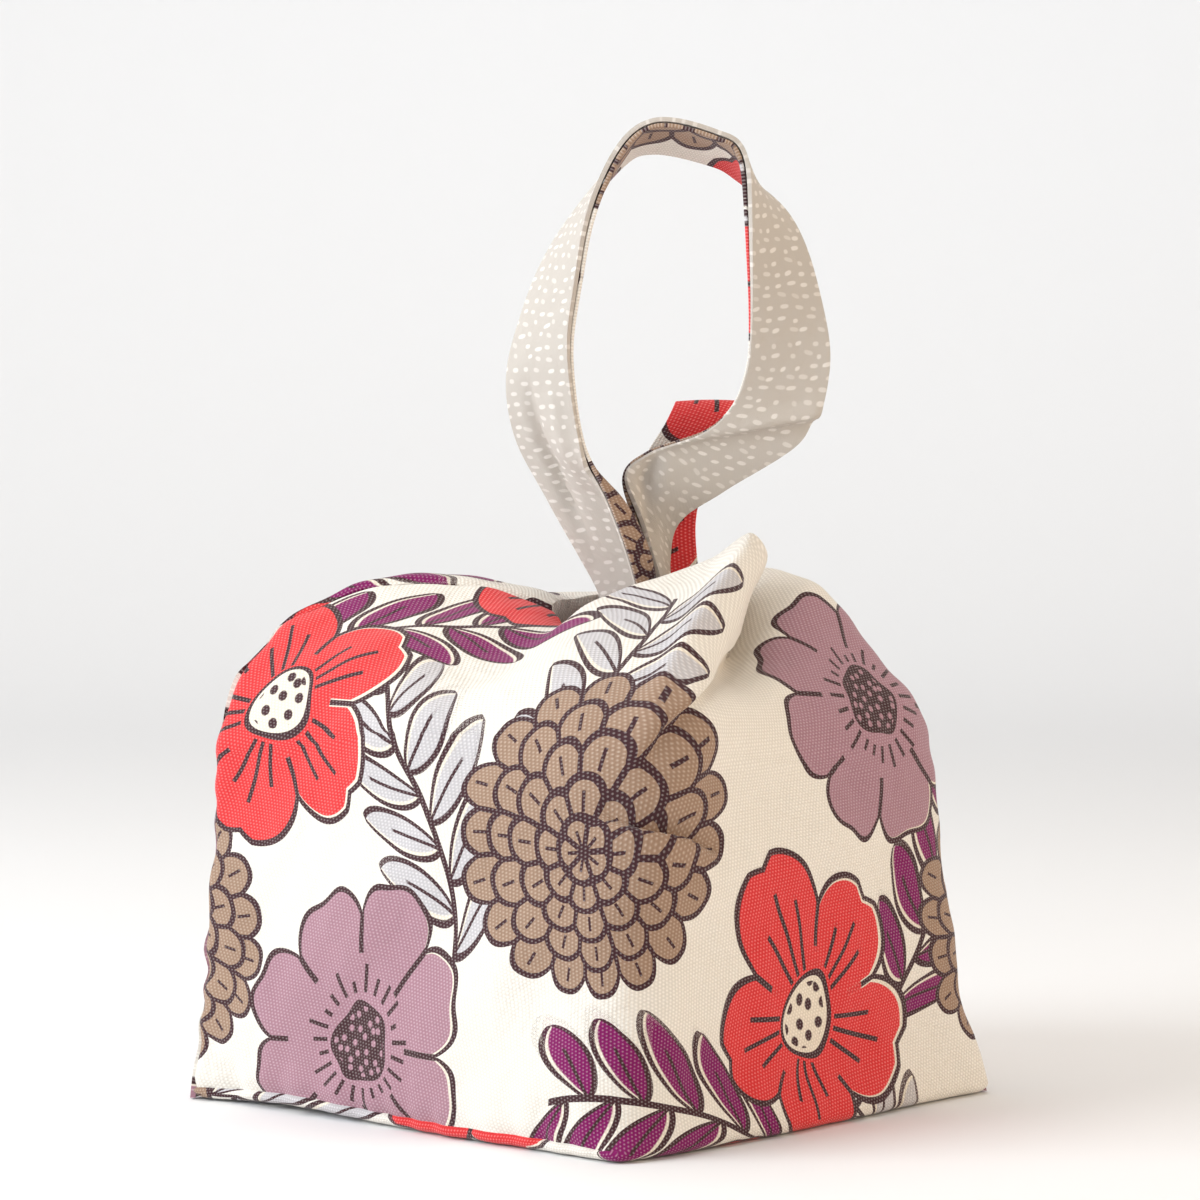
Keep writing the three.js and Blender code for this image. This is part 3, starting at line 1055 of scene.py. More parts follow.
    def cosmos(self, colours: Colours) -> None:
        """Eight toothed petals around a dark seeded disc with a ring of rays.

        Args:
            colours: the colours that it is laid on.
        """
        x, y, salt = motif_place(colours.tree, MotifKind.COSMOS.value)
        radius, count = self.cosmos_radius, self.cosmos_petals
        reach, across, petal, gap = self.petals(x, y, count)
        draw = (petal + salt * 5.0).chance(1.7)
        width = across.abs()
        wave = (across * 7.0 + petal * 2.0).sin() * 0.018
        rim = (0.77 + (0.18 + 0.06 * draw) * (1.0 - width**4.0) + wave) * radius
        inside = (rim - reach) / (1.0 + 0.8 * width * width)
        beside = reach * (1.0 - width) * (math.pi / count)
        start = (0.4 + 0.24 * (gap + salt * 5.0).chance(5.9)) * radius
        seam = beside.below(self.line / 2) * reach.above(start)
        sliver = self.sliver(x, y, reach, 1.2)
        fill = inside.above(sliver) * beside.above(sliver * 0.5).either(reach.below(start))
        silhouette = inside.above(0.0)
        colours.lay(Dye.CREAM.value, silhouette)
        colours.lay(Dye.MAUVE.value, fill * silhouette)
        colours.lay(Dye.OUTLINE.value, inside.abs().below(self.line / 2).either(seam * silhouette))
        rays, ray_across, ray, _ = self.petals(x, y, self.cosmos_rays)
        tip = (0.36 + 0.12 * (ray + salt).chance(2.3)) * radius
        ray_line = (ray_across.abs() * rays * (math.pi / self.cosmos_rays)).below(self.line * 0.36)
        colours.lay(Dye.OUTLINE.value, ray_line * rays.above(0.3 * radius) * rays.below(tip))
        disc = radius * 0.25 * (1.0 + 0.06 * (x * 0.5).sin() + 0.06 * (y * 0.6 + salt).sin())
        colours.lay(Dye.OUTLINE.value, reach.below(disc))
        seeds = dots(colours.tree, x, y, 3.1).below(0.8, 0.3) * reach.below(disc - 1.2)
        colours.lay(Dye.MAUVE.value, seeds)

    def zinnia(self, colours: Colours) -> None:
        """Rings of rounded petals, each ring over the one outside it.

        Args:
            colours: the colours that it is laid on.
        """
        x, y, salt = motif_place(colours.tree, MotifKind.ZINNIA.value)
        radius = self.zinnia_radius
        for order, (share, count) in enumerate(self.zinnia_rings):
            reach, across, petal, _ = self.petals(x, y, count, self.ring_turn * order)
            draw = (petal + salt * 3.0).chance(4.1 + order)
            width = across.abs()
            rim = share * radius * (0.86 + (0.1 + 0.08 * draw) * (1.0 - width**2.6))
            inside = (rim - reach) / (1.0 + 0.9 * width * width)
            beside = reach * (1.0 - width) * (math.pi / count)
            silhouette = inside.above(0.0)
            edge = inside.abs().below(self.line * 0.5)
            seam = beside.below(self.line * 0.46) * silhouette
            rib = (width * reach * (math.pi / count)).below(0.42) * inside.above(2.6) * inside.below(6.5)
            colours.lay(Dye.TAUPE.value, silhouette)
            colours.lay(Dye.OUTLINE.value, edge.either(seam).either(rib))

    def sprig(self, colours: Colours, kind: MotifKind, dye: Dye) -> None:
        """A bowed stem with almond leaves on both sides.

        Args:
            colours: the colours that it is laid on.
            kind: which sprig it is.
            dye: colour of its leaves.
        """
        x, y, salt = motif_place(colours.tree, kind.value)
        lean = math.radians(self.leaf_degrees)
        rise = y - x * x * 0.0035
        side = rise.op("SIGN")
        height = rise.abs()
        spot = x - height / math.tan(lean) - side * (self.leaf_pitch * 0.25)
        number = (spot / self.leaf_pitch + 0.5).floor().clamp(-2.0, 2.0)
        off = (spot - number * self.leaf_pitch) * math.sin(lean)
        length = 25.0 + 6.0 * (number + side * 9.0 + salt * 3.0).chance(6.1)
        share = (height / math.sin(lean)) / length
        body = (share * (1.0 - share) * 4.0).op("MAXIMUM", 0.0) ** 0.8
        inside = body * 5.0 - off.abs()
        leaf = share.below(1.0, 0.03)
        silhouette = inside.above(0.0) * leaf
        outline = inside.abs().below(self.line * 0.46) * share.below(1.03, 0.03) * body.above(0.02, 0.02)
        vein = off.abs().below(self.line * 0.3) * share.below(0.62, 0.03)
        stem = height.below(self.line * 0.5) * x.abs().below(self.stem_reach)
        colours.lay(Dye.CREAM.value, silhouette)
        colours.lay(dye.value, silhouette * (off * side).above(1.1 - body * 4.6, 0.3))
        colours.lay(Dye.OUTLINE.value, outline.either(vein * silhouette).either(stem))


# ---------------------------------------------------------------- finishes


def new_cloth_material(name: str) -> tuple[bpy.types.Material, bpy.types.NodeTree, bpy.types.Node]:
    """A matt cloth material, ready for its colour and bump.

    Args:
        name: the material's name.

    Returns:
        The material, its node tree and its shader.
    """
    material = bpy.data.materials.new(name)
    material.use_nodes = True
    tree = material.node_tree
    shader = tree.nodes["Principled BSDF"]
    shader.inputs["Roughness"].default_value = 0.88
    shader.inputs["Specular IOR Level"].default_value = 0.22
    shader.inputs["Sheen Weight"].default_value = 0.18
    shader.inputs["Sheen Roughness"].default_value = 0.45
    return material, tree, shader


def bump(
    tree: bpy.types.NodeTree, height: Field, depth: float, under: bpy.types.Node | None = None
) -> bpy.types.Node:
    """A bump node.

    Args:
        tree: the node tree.
        height: height of the bumps, 0 to 1.
        depth: what a height of 1 stands for, in metres.
        under: bump node that this one lies on, if any.

    Returns:
        The node.
    """
    node = tree.nodes.new("ShaderNodeBump")
    node.inputs["Strength"].default_value = 1.0
    node.inputs["Distance"].default_value = depth
    plug(tree, height, node.inputs["Height"])
    if under is not None:
        tree.links.new(under.outputs[0], node.inputs["Normal"])
    return node


@dataclass(frozen=True)
class PrintedCanvas:
    """Plain-weave canvas with thick threads, printed with the flowers."""

    print_design: FloralPrint
    thread_across: float = 1.08
    thread_up: float = 0.44
    crossing_share: float = 0.3
    column_share: float = 0.2
    # painted shade: colour that darkens the gaps between the threads
    painted_thread_shade: Triple = (0.2, 0.17, 0.15)
    painted_thread_shade_share: float = 0.34
    # painted highlight: colour that lightens the tops of the thread knots
    painted_knot_highlight: Triple = (1.0, 0.97, 0.92)
    painted_knot_highlight_share: float = 0.38
    tint: Triple = (0.9, 0.86, 0.8)
    tint_share: float = 0.3
    tint_size: float = 34.0
    slack_size: float = 9.0
    slack_depth: float = 0.0011
    thread_depth: float = 0.0002

    def material(self) -> bpy.types.Material:
        """Makes the canvas: the print, its threads with painted shade in their gaps and painted highlights on
        their knots, and its slack.

        Returns:
            The material.
        """
        material, tree, shader = new_cloth_material("printed_canvas")
        u, v = flat_place(tree)
        colours = self.print_design.paint(tree)
        crossing = (u * (math.pi / self.thread_across)).sin() * (v * (math.pi / self.thread_up)).sin()
        column = (u * (math.tau / self.thread_across) - math.pi / 2).sin()
        weave = crossing * self.crossing_share + column * self.column_share + 0.5
        # painted shade darkens the gaps between the threads
        colours.lay(self.painted_thread_shade, (1.0 - weave) * self.painted_thread_shade_share, "MULTIPLY")
        # painted highlight lightens the tops of the thread knots
        colours.lay(self.painted_knot_highlight, (weave - 0.55).op("MAXIMUM", 0.0) * self.painted_knot_highlight_share)
        tone = noise(tree, u, v, self.tint_size)
        colours.lay(self.tint, (tone - 0.45).op("MAXIMUM", 0.0) * self.tint_share, "MULTIPLY")
        tree.links.new(colours.socket, shader.inputs["Base Color"])
        slack = bump(tree, noise(tree, u, v, self.slack_size, 3.0), self.slack_depth)
        threads = bump(tree, weave, self.thread_depth, slack)
        tree.links.new(threads.outputs[0], shader.inputs["Normal"])
        return material


@dataclass(frozen=True)
class LiningCotton:
    """Fine warm grey cotton with rows of small off-white dashes."""

    colour: Triple = srgb("C2BAB1")
    dash: Triple = srgb("E4DED7")
    row_pitch: float = 3.0
    dash_pitch: float = 3.9
    dash_height: float = 0.55
    dash_squareness: float = 2.4
    wave_size: float = 14.0
    wave_height: float = 2.4
    thread_pitch: float = 0.5
    # painted shade: colour that darkens the gaps between the threads
    painted_thread_shade: Triple = (0.55, 0.52, 0.5)
    painted_thread_shade_share: float = 0.12
    slack_size: float = 6.0
    slack_depth: float = 0.0008
    thread_depth: float = 0.00005

    def material(self) -> bpy.types.Material:
        """Makes the cotton: its dashes, its threads with painted shade in their gaps, and its slack.

        Returns:
            The material.
        """
        material, tree, shader = new_cloth_material("lining_cotton")
        u, v = flat_place(tree)
        colours = Colours(tree, self.colour)
        wave = noise(tree, u, v, self.wave_size) * self.wave_height
        row = ((v + wave) / self.row_pitch).floor()
        shift = u / self.dash_pitch + row.chance(2.9) * 1.7
        cell = shift.floor()
        draw = (cell * 7.0 + row * 31.0).chance(0.7)
        other = (cell * 13.0 + row * 17.0).chance(4.1)
        off = ((shift - cell) - 0.5 + (other - 0.5) * 0.45) * self.dash_pitch
        rise = (((v + wave) / self.row_pitch).fract() - 0.5 + (draw - 0.5) * 0.4) * self.row_pitch
        length = 0.55 + draw * 0.75
        tilted = (rise + off * (other - 0.5) * 0.5) / self.dash_height
        mark = (off / length).abs() ** self.dash_squareness + tilted.abs() ** self.dash_squareness
        colours.lay(self.dash, mark.below(1.1, 0.9) * (0.45 + 0.55 * other))
        turns = math.tau / self.thread_pitch
        threads = ((u * turns).sin() * (v * turns).sin()) * 0.5 + 0.5
        # painted shade darkens the gaps between the threads
        colours.lay(self.painted_thread_shade, (1.0 - threads) * self.painted_thread_shade_share, "MULTIPLY")
        tree.links.new(colours.socket, shader.inputs["Base Color"])
        slack = bump(tree, noise(tree, u, v, self.slack_size, 3.0), self.slack_depth)
        weave = bump(tree, threads, self.thread_depth, slack)
        tree.links.new(weave.outputs[0], shader.inputs["Normal"])
        return material


# ---------------------------------------------------------------- sheets of cloth


def select_none() -> None:
    """Leaves nothing selected."""
    bpy.ops.object.select_all(action="DESELECT")


@dataclass
class ClothSheet:
    """A grid of cloth points, rows going up and columns to the right as seen from outside."""

    name: str
    points: Array
    thickness: float

    def build(self) -> bpy.types.Object:
        """Makes the sheet's outer face from its grid of points.

        Returns:
            The sheet, without a thickness yet.
        """
        rows, columns = self.points.shape[:2]
        select_none()
        bpy.ops.mesh.primitive_grid_add(x_subdivisions=columns - 1, y_subdivisions=rows - 1, size=1.0)
        sheet = bpy.context.object
        sheet.name = sheet.data.name = self.name
        sheet.data.vertices.foreach_set("co", (self.points * MM).astype(np.float32).ravel())
        sheet.data.update()
        return sheet

    def corners(self, mesh: bpy.types.Mesh) -> tuple[Array, Array]:
        """Finds where the faces' corners stand in the grid.

        Args:
            mesh: the sheet's mesh, without a thickness yet.

        Returns:
            Row and column of each corner of each face.
        """
        index = np.empty(len(mesh.loops), np.int32)
        mesh.loops.foreach_get("vertex_index", index)
        row, column = np.divmod(index.reshape(-1, 4), self.points.shape[1])
        return row, column

    def thicken(
        self,
        sheet: bpy.types.Object,
        kept: Array | None = None,
        bevel: float = 0.0,
        inner: Array | None = None,
    ) -> None:
        """Gives the sheet its thickness inwards, and rounds its cut edges if asked.

        Args:
            sheet: the sheet.
            kept: share of the thickness at each point where there is a second material inside.
            bevel: radius of the cut edges in mm, or 0.
            inner: places of the inner face's points, where the thickness alone would miss them.
        """
        select_none()
        bpy.context.view_layer.objects.active = sheet
        sheet.select_set(True)
        solid = sheet.modifiers.new("thickness", "SOLIDIFY")
        solid.thickness, solid.offset = self.thickness * MM, -1.0
        if kept is not None:
            fullness = sheet.vertex_groups.new(name="fullness")
            for place, share in enumerate(kept.ravel()):
                fullness.add([place], float(share), "REPLACE")
            solid.vertex_group, solid.material_offset = fullness.name, 1
        bpy.ops.object.modifier_apply(modifier=solid.name)
        sheet.vertex_groups.clear()
        if inner is not None:
            places = inner.reshape(-1, 3) * MM
            for vertex, place in zip(sheet.data.vertices[len(places) : 2 * len(places)], places):
                vertex.co = place
        if bevel:
            rounding = sheet.modifiers.new("rounded_edges", "BEVEL")
            rounding.width, rounding.segments = bevel * MM, CUT_EDGE_SEGMENTS
            rounding.limit_method, rounding.angle_limit = "ANGLE", math.radians(CUT_EDGE_DEGREES)
            bpy.ops.object.modifier_apply(modifier=rounding.name)
        for vertex in sheet.data.vertices:
            vertex.co.z = max(vertex.co.z, 0.0)
        bpy.ops.object.shade_smooth_by_angle(angle=math.radians(SMOOTH_DEGREES))


def set_flat(mesh: bpy.types.Mesh, flat: Array) -> None:
    """Writes each corner's place on the flat cloth, in metres, as the UV map."""
    mesh.uv_layers.active.data.foreach_set("uv", (flat * MM).astype(np.float32).ravel())


@dataclass
class BodyCloth:
    """One of the two sheets of the body, between two corner seams."""

    name: str
    form: BagForm
    start: float
    end: float
    columns: int
    downs: Array
    crowding: float = 1.0
    thickness: float = 1.4
    seam_gap: float = 0.14
    seam_depth: float = 1.3
    seam_width: float = 1.8
    pucker: float = 0.6
    pucker_reach: float = 7.0
    pucker_mix: float = 4.0
    loose_puckers: float = 0.35
    swell: float = 0.75
    swell_length: float = 46.0
    ripple_share: float = 0.3
    ripple_length: float = 17.0
    horn_thinning: float = 0.6
    horn_at: float = 0.02
    horn_spread: float = 0.04
    horn_down: float = 2.3
    hem_growth: float = 1.5
    print_offset: tuple[float, float] = (0.0, 0.0)

    def surface(self, at: Array, down: Array) -> Array:
        """Points of this cloth's plain form."""
        return self.form.back(at, down)

    def shares(self, count: int) -> Array:
        """Places from seam to seam, closer in the middle where crowding is above 1."""
        t = np.linspace(-1, 1, count + 1)
        return 0.5 + 0.5 * np.sign(t) * np.abs(t) ** self.crowding

    def spread(self, shares: Array, downs: Array) -> Array:
        """Places around the bag, a small gap in from each seam.

        Args:
            shares: shares of the way from seam to seam.
            downs: the rows.

        Returns:
            The places, by row and column.
        """
        height = np.minimum(downs, 4 - SMALL_STEP)

        def margin(seam: float) -> Array:
            """Share of the way around that the gap takes up at each height."""
            run = self.surface(seam + SMALL_STEP, height) - self.surface(seam - SMALL_STEP, height)
            return self.seam_gap * 2 * SMALL_STEP / np.linalg.norm(run, axis=-1)

        first, last = self.start + margin(self.start), self.end - margin(self.end)
        return first[:, None] + (last - first)[:, None] * shares[None]

    def flat_places(self, shares: Array) -> Array:
        """Flat place of each point of the fine grid, from a coarser one laid flat.

        Args:
            shares: shares of the way from seam to seam.

        Returns:
            The flat places in mm, by row and column.
        """
        few = np.linspace(0, 1, LAY_FLAT_COLUMNS)
        downs = stretches((-1, 0, 1), (0, 1, 7), (1, 2, 9), (2, 3, 9))
        coarse = self.surface(self.spread(few, downs), downs[:, None])[::-1]
        flat = level(lay_flat(coarse))[::-1]
        columns = SmoothTable(few, np.moveaxis(flat, 0, 1))(shares)
        return SmoothTable(downs, np.moveaxis(columns, 1, 0))(np.clip(self.downs, -1, 3))

    def seam_shift(self, points: Array, normals: Array) -> Array:
        """Draws the cloth in along both seams and puckers it there.

        Args:
            points: points of the plain form.
            normals: outward direction at each point.

        Returns:
            The move of each point.
        """
        steps = np.linalg.norm(np.diff(points, axis=1), axis=-1)
        run = np.concatenate([np.zeros((len(points), 1)), np.cumsum(steps, 1)], 1)
        height = np.minimum(self.downs, 4 - 2 * SMALL_STEP)
        shift = np.zeros(points.shape)
        for seam, gap in ((self.start, run), (self.end, run[:, -1:] - run)):
            inward = -outward(self.surface, seam + 0 * height, height)[:, None]
            corner = (4 * seam) % 4
            z = points[:, :1, 2] if seam == self.start else points[:, -1:, 2]
            gather = np.sin(z / 2.1 + 1.8 * np.sin(z / 8.3 + corner))
            gather = gather * (0.4 + 0.6 * np.sin(z / 23 + corner) ** 2)
            depth = self.seam_depth * np.exp(-((gap / self.seam_width) ** 2))
            shift += inward * depth[..., None]
            near = np.exp(-gap / self.pucker_mix)[..., None]
            way = unit(normals * (1 - near) - inward * near)
            strength = self.pucker * (1.0 if corner > 2 else self.loose_puckers)
            shift += way * (strength * gather * np.exp(-gap / self.pucker_reach))[..., None]
        return shift

    def relief(self, points: Array, flat: Array) -> Array:
        """How far out of the plain form the cloth stands, by its creases and slack.

        Args:
            points: points of the plain form.
            flat: their flat places.

        Returns:
            The distance at each point, in mm.
        """
        out = self.swell * Unevenness(5, self.swell_length)(flat)
        out = out + self.ripple_share * self.swell * Unevenness(6, self.ripple_length)(flat)
        for crease in CREASES:
            out -= crease.press(points)
        return out

    def settle(self, points: Array) -> Array:
        """Small shifts of the whole cloth at its foot; none on a plain sheet."""
        return points

    def corner_places(self, row: Array, column: Array, flat: Array, points: Array) -> Array:
        """Flat place of each corner of each face."""
        return flat[row, column]

    def build(self, print_design: FloralPrint, finishes: Sequence[bpy.types.Material]) -> bpy.types.Object:
        """Builds the sheet and lays the print on it.

        Args:
            print_design: the print of the canvas.
            finishes: materials of the outer and the inner face.

        Returns:
            The finished sheet.
        """
        shares = self.shares(self.columns)
        at = self.spread(shares, self.downs)
        down = np.broadcast_to(self.downs[:, None], at.shape)
        plain = self.surface(at, down)
        flat = self.flat_places(shares)
        normals = outward(self.surface, at, np.minimum(down, 4 - 2 * SMALL_STEP))
        normals = np.where(down[..., None] >= 4, [0.0, 0.0, -1.0], normals)
        shift = normals * self.relief(plain, flat)[..., None] + self.seam_shift(plain, normals)
        beside_horn = np.exp(-(((at - self.horn_at) / self.horn_spread) ** 2))
        kept = 1 - self.horn_thinning * beside_horn * (down < self.horn_down)
        for fold in LAPPED_FOLDS:
            shift += fold.shift(plain, normals)
            kept *= fold.thinning(plain)
        shift *= (np.clip((down + 1) * self.hem_growth, 0, 1) * np.clip(4 - down, 0, 1))[..., None]
        points = self.settle(plain + shift)
        points[..., 2] = np.maximum(points[..., 2], 0.0)
        grid = ClothSheet(self.name, points[::-1], self.thickness)
        sheet = grid.build()
        row, column = grid.corners(sheet.data)
        row = len(self.downs) - 1 - row
        places = self.corner_places(row, column, flat, plain) + np.asarray(self.print_offset)
        set_flat(sheet.data, places)
        print_design.mark(sheet.data, places)
        for finish in finishes:
            sheet.data.materials.append(finish)
        grid.thicken(sheet, kept[::-1])
        return sheet


@dataclass
class FrontCloth(BodyCloth):
    """The front two walls, their part of the top, and the base, in one piece."""

    hem_seam_height: float = 3.2
    hem_seam_depth: float = 1.1
    hem_seam_width: float = 1.2
    hem_seam_start: float = -68.0
    hem_seam_fade: float = 6.0
    left_wall: float = -60.0
    hem_pucker: float = 0.5
    hem_pucker_reach: float = 7.0
    base_side: float = 146.0
    right_bulge: float = 4.5
    bulge_height: float = 13.0
    left_lift: float = 1.6
    lift_middle: float = 38.0
    lift_length: float = 22.0
    lift_height: float = 10.0

    def surface(self, at: Array, down: Array) -> Array:
        """Points of this cloth's plain form."""
        return self.form.front(at, down)

    def relief(self, points: Array, flat: Array) -> Array:
        """Adds the seam along the bottom of the left wall, with its puckers.

        Args:
            points: points of the plain form.
            flat: their flat places.

        Returns:
            The distance at each point, in mm.
        """
        out = super().relief(points, flat)
        left = np.clip((points[..., 1] - self.hem_seam_start) / self.hem_seam_fade, 0, 1)
        left = left * (points[..., 0] < self.left_wall)
        rise = points[..., 2] - self.hem_seam_height
        along = points[..., 1]
        gather = np.sin(along / 1.7 + 1.5 * np.sin(along / 9.0))
        out -= left * self.hem_seam_depth * np.exp(-((rise / self.hem_seam_width) ** 2))
        return out + left * self.hem_pucker * gather * np.exp(-np.abs(rise) / self.hem_pucker_reach)

    def settle(self, points: Array) -> Array:
        """Bows out the foot of the right wall and lifts part of the left wall's foot.

        Args:
            points: the cloth's points.

        Returns:
            The settled points.
        """
        y = np.clip((points[..., 1] + self.base_side / 2) / self.base_side, 0, 1)
        x = np.clip((points[..., 0] + self.base_side / 2) / self.base_side, 0, 1)
        low = np.exp(-((points[..., 2] / self.bulge_height) ** 2))
        bow = np.sin(math.pi * np.clip(x * 1.02, 0, 1)) ** 0.6 * (1 - 0.35 * x)
        points[..., 1] -= self.right_bulge * bow * low * (1 - y) ** 2
        lift = np.exp(-(((points[..., 1] - self.lift_middle) / self.lift_length) ** 2))
        lift = lift * np.clip(1 - x * 12, 0, 1)
        points[..., 2] += self.left_lift * lift * np.exp(-((points[..., 2] / self.lift_height) ** 2))
        return points

    def corner_places(self, row: Array, column: Array, flat: Array, points: Array) -> Array:
        """Flat places, with the base cut on from the right wall and seamed to the left one.

        Args:
            row: row of each corner of each face.
            column: column of each corner of each face.
            flat: flat place of each point of the walls and top.
            points: points of the plain form.

        Returns:
            Flat place of each corner of each face.
        """
        foot = int(np.searchsorted(self.downs, 3))
        middle = self.columns // 2
        order = np.arange(self.columns + 1)
        anchor = np.maximum(order, middle)
        along, deep, up = np.moveaxis(points, -1, 0)
        of_left = order < middle
        spread = np.stack([along - np.where(of_left, up, 0), np.where(of_left, 0, up) - deep], -1)
        base = flat[foot, anchor][None] + spread - spread[foot, anchor][None]
        on_base = (row.max(1) > foot)[:, None, None]
        return np.where(on_base, base[row, column], flat[row, column])


# ---------------------------------------------------------------- handles


@dataclass(frozen=True)
class BandRow:
    """A place along a handle and its two edges there, each (across, deep, up).

    Where turned is above 0, the part beside the near edge is turned over the outside, and turned
    says by how many mm the line of the turn stands out across.
    """

    name: str
    near: Triple
    far: Triple
    turned: float = 0.0


LONG_HANDLE = (
    BandRow("left end", (12, -3.2, 119), (4, 7, 119), 3.0),
    BandRow("left mouth", (11.4, -4.0, 130), (3, 8, 130), 6.0),
    BandRow("left rise", (8.3, -6.2, 142), (-2.6, 8, 142), 8.4),
    BandRow("left lean", (3.2, -6.2, 156), (-11, 7, 156), 7.4),
    BandRow("left low bow", (-3, -6, 171), (-19, 8, 171)),
    BandRow("left bow", (-6, -7, 188), (-22, 7, 188)),
    BandRow("left upper", (-6, -8, 204), (-18, 9, 204)),
    BandRow("left turn", (-2, -9, 226), (-8, 10, 226)),
    BandRow("left top", (5, -9, 246), (7, 10, 244)),
    BandRow("top left", (15, -10, 254), (16, 8, 248)),
    BandRow("top right", (30.5, -11, 250.8), (30.5, 7, 245.4)),
    BandRow("right top", (37.2, -11, 246), (38.4, 7, 241.5)),
    BandRow("right upper", (39, -11, 230), (51, 4, 230)),
    BandRow("right bow", (40, -9, 208), (59, -1, 208)),
    BandRow("right low bow", (39, -7, 190), (61, -4, 190)),
    BandRow("right fold", (33, -5, 178), (55, -4, 173)),
    BandRow("right return", (18, -2, 170), (35, 4, 160)),
    BandRow("right dive", (8, 0.6, 163), (23, 9, 151)),
    BandRow("right rise", (13, 1, 147), (20, 13, 140)),
    BandRow("right mouth", (17.4, 0.5, 130), (20.5, 12, 130)),
    BandRow("right end", (18, 0, 119), (20, 11, 119)),
)

SHORT_HANDLE = (
    BandRow("front end", (12, 17, 119), (29, 16, 119)),
    BandRow("front mouth", (11, 17, 132), (29, 16, 132)),
    BandRow("front rise", (10, 18, 150), (28, 17, 151)),
    BandRow("front lean", (14, 19, 166), (33, 18, 167)),
    BandRow("front top", (20, 21, 176), (39, 20, 177)),
    BandRow("crown", (23, 26, 181), (42, 25, 181)),
    BandRow("back top", (21, 32, 176), (40, 31, 176)),
    BandRow("back bow", (12, 35, 160), (30, 34, 160)),
    BandRow("back rise", (9, 30, 143), (26, 28, 143)),
    BandRow("back mouth", (12, 24.3, 131), (28, 22.3, 131)),
    BandRow("back end", (13, 23, 119), (28, 21, 119)),
)

LONG_CREASES = (
    Crease("left gather", -2.4, 1.7, ((-16, 2, 186), (-13, 3, 172), (-6, 3, 156), (0, 3, 142), (4, 2, 128))),
    Crease("left gather beside", 1.2, 2.4, ((-10, -2, 184), (-7, -2, 170), (-3, -1, 160))),
    Crease("inner edge", -3.2, 2.1, ((17, 0, 171), (13.6, 2, 162), (14.6, 3.5, 150), (17, 3.5, 140))),
)


LONG_FOLDS = (
    LappedFold(
        "turned edge",
        2.4,
        1.4,
        2.6,
        ((57, -4, 177.5), (48, -4.5, 176), (34, -4.5, 173.5), (17, -2, 169.5)),
    ),
)


TURN_PEAK = 27 / 4  # brings share * (1 - share) ** 2 up to 1 where it is highest


@dataclass
class Handle:
    """A handle loop: a printed strip and a lining strip, sewn face to face."""

    name: str
    rows: tuple[BandRow, ...]
    creases: tuple[Crease, ...]
    folds: tuple[LappedFold, ...]
    print_place: tuple[float, float]
    flat: tuple[float, float]
    layer: float = 1.2
    gap: float = 0.35
    steps: int = 16
    across: int = 20
    cut_edge: float = 0.45
    slack: float = 0.45
    slack_length: float = 30.0
    calm_ends: float = 12.0

    def middle(self, along: Array, side: Array) -> Array:
        """Points of the middle of the strap.

        Args:
            along: places along the strap, counted in rows.
            side: places across it, 0 at the near edge and 1 at the far one.

        Returns:
            The points.
        """
        order = np.arange(len(self.rows))
        near = on_diagonals(SmoothTable(order, [row.near for row in self.rows])(along))
        far = on_diagonals(SmoothTable(order, [row.far for row in self.rows])(along))
        share = np.asarray(side, float)[..., None]
        turned = SmoothTable(order, [row.turned for row in self.rows])(along)[..., None]
        stands_out = on_diagonals((1, 0, 0)) * turned * TURN_PEAK * share * (1 - share) ** 2
        return near + (far - near) * share + stands_out

    def strip(
        self, side_name: str, facing: int, print_design: FloralPrint, finish: bpy.types.Material
    ) -> bpy.types.Object:
        """Makes one layer of the strap.

        Args:
            side_name: ending of the piece's name.
            facing: 1 for the printed layer and -1 for the lining.
            print_design: the print of the canvas.
            finish: the layer's material.

        Returns:
            The finished layer.
        """
        last = len(self.rows) - 1
        alongs, sides = np.linspace(0, last, last * self.steps + 1), np.linspace(0, 1, self.across + 1)
        along, side = np.meshgrid(alongs, sides, indexing="ij")
        normals = outward(self.middle, np.clip(along, SMALL_STEP, last - SMALL_STEP), side)
        middle = self.middle(along, side)
        length = np.linalg.norm(np.diff(middle[:, self.across // 2], axis=0), axis=-1)
        width = np.linalg.norm(np.diff(middle, axis=1), axis=-1)
        run = np.concatenate([[0], np.cumsum(length)])[:, None] + 0 * side
        flat = np.stack([np.concatenate([0 * run[:, :1], np.cumsum(width, 1)], 1), run], -1)
        bend = self.slack * Unevenness(11, self.slack_length)(flat)
        for from_end in (run, run.max() - run):
            bend = bend * np.clip(from_end / self.calm_ends, 0, 1)
        for crease in self.creases:
            bend -= crease.press(middle)
        points = middle + normals * (facing * (self.gap / 2 + self.layer) + bend)[..., None]
        inner = middle + normals * (facing * self.gap / 2 + bend)[..., None]
        for fold in self.folds:
            shift = fold.shift(middle, -normals)
            points += shift
            inner += shift
        places = flat + np.asarray(self.print_place)
        if facing < 0:
            points, inner, places = points[::-1], inner[::-1], places[::-1]
        grid = ClothSheet(f"{self.name}_{side_name}_sheet", points, self.layer)
        sheet = grid.build()
        row, column = grid.corners(sheet.data)
        set_flat(sheet.data, places[row, column])
        if facing > 0:
            print_design.mark(sheet.data, places[row, column])
        sheet.data.materials.append(finish)
        grid.thicken(sheet, bevel=self.cut_edge, inner=inner)
        return sheet


# ---------------------------------------------------------------- studio


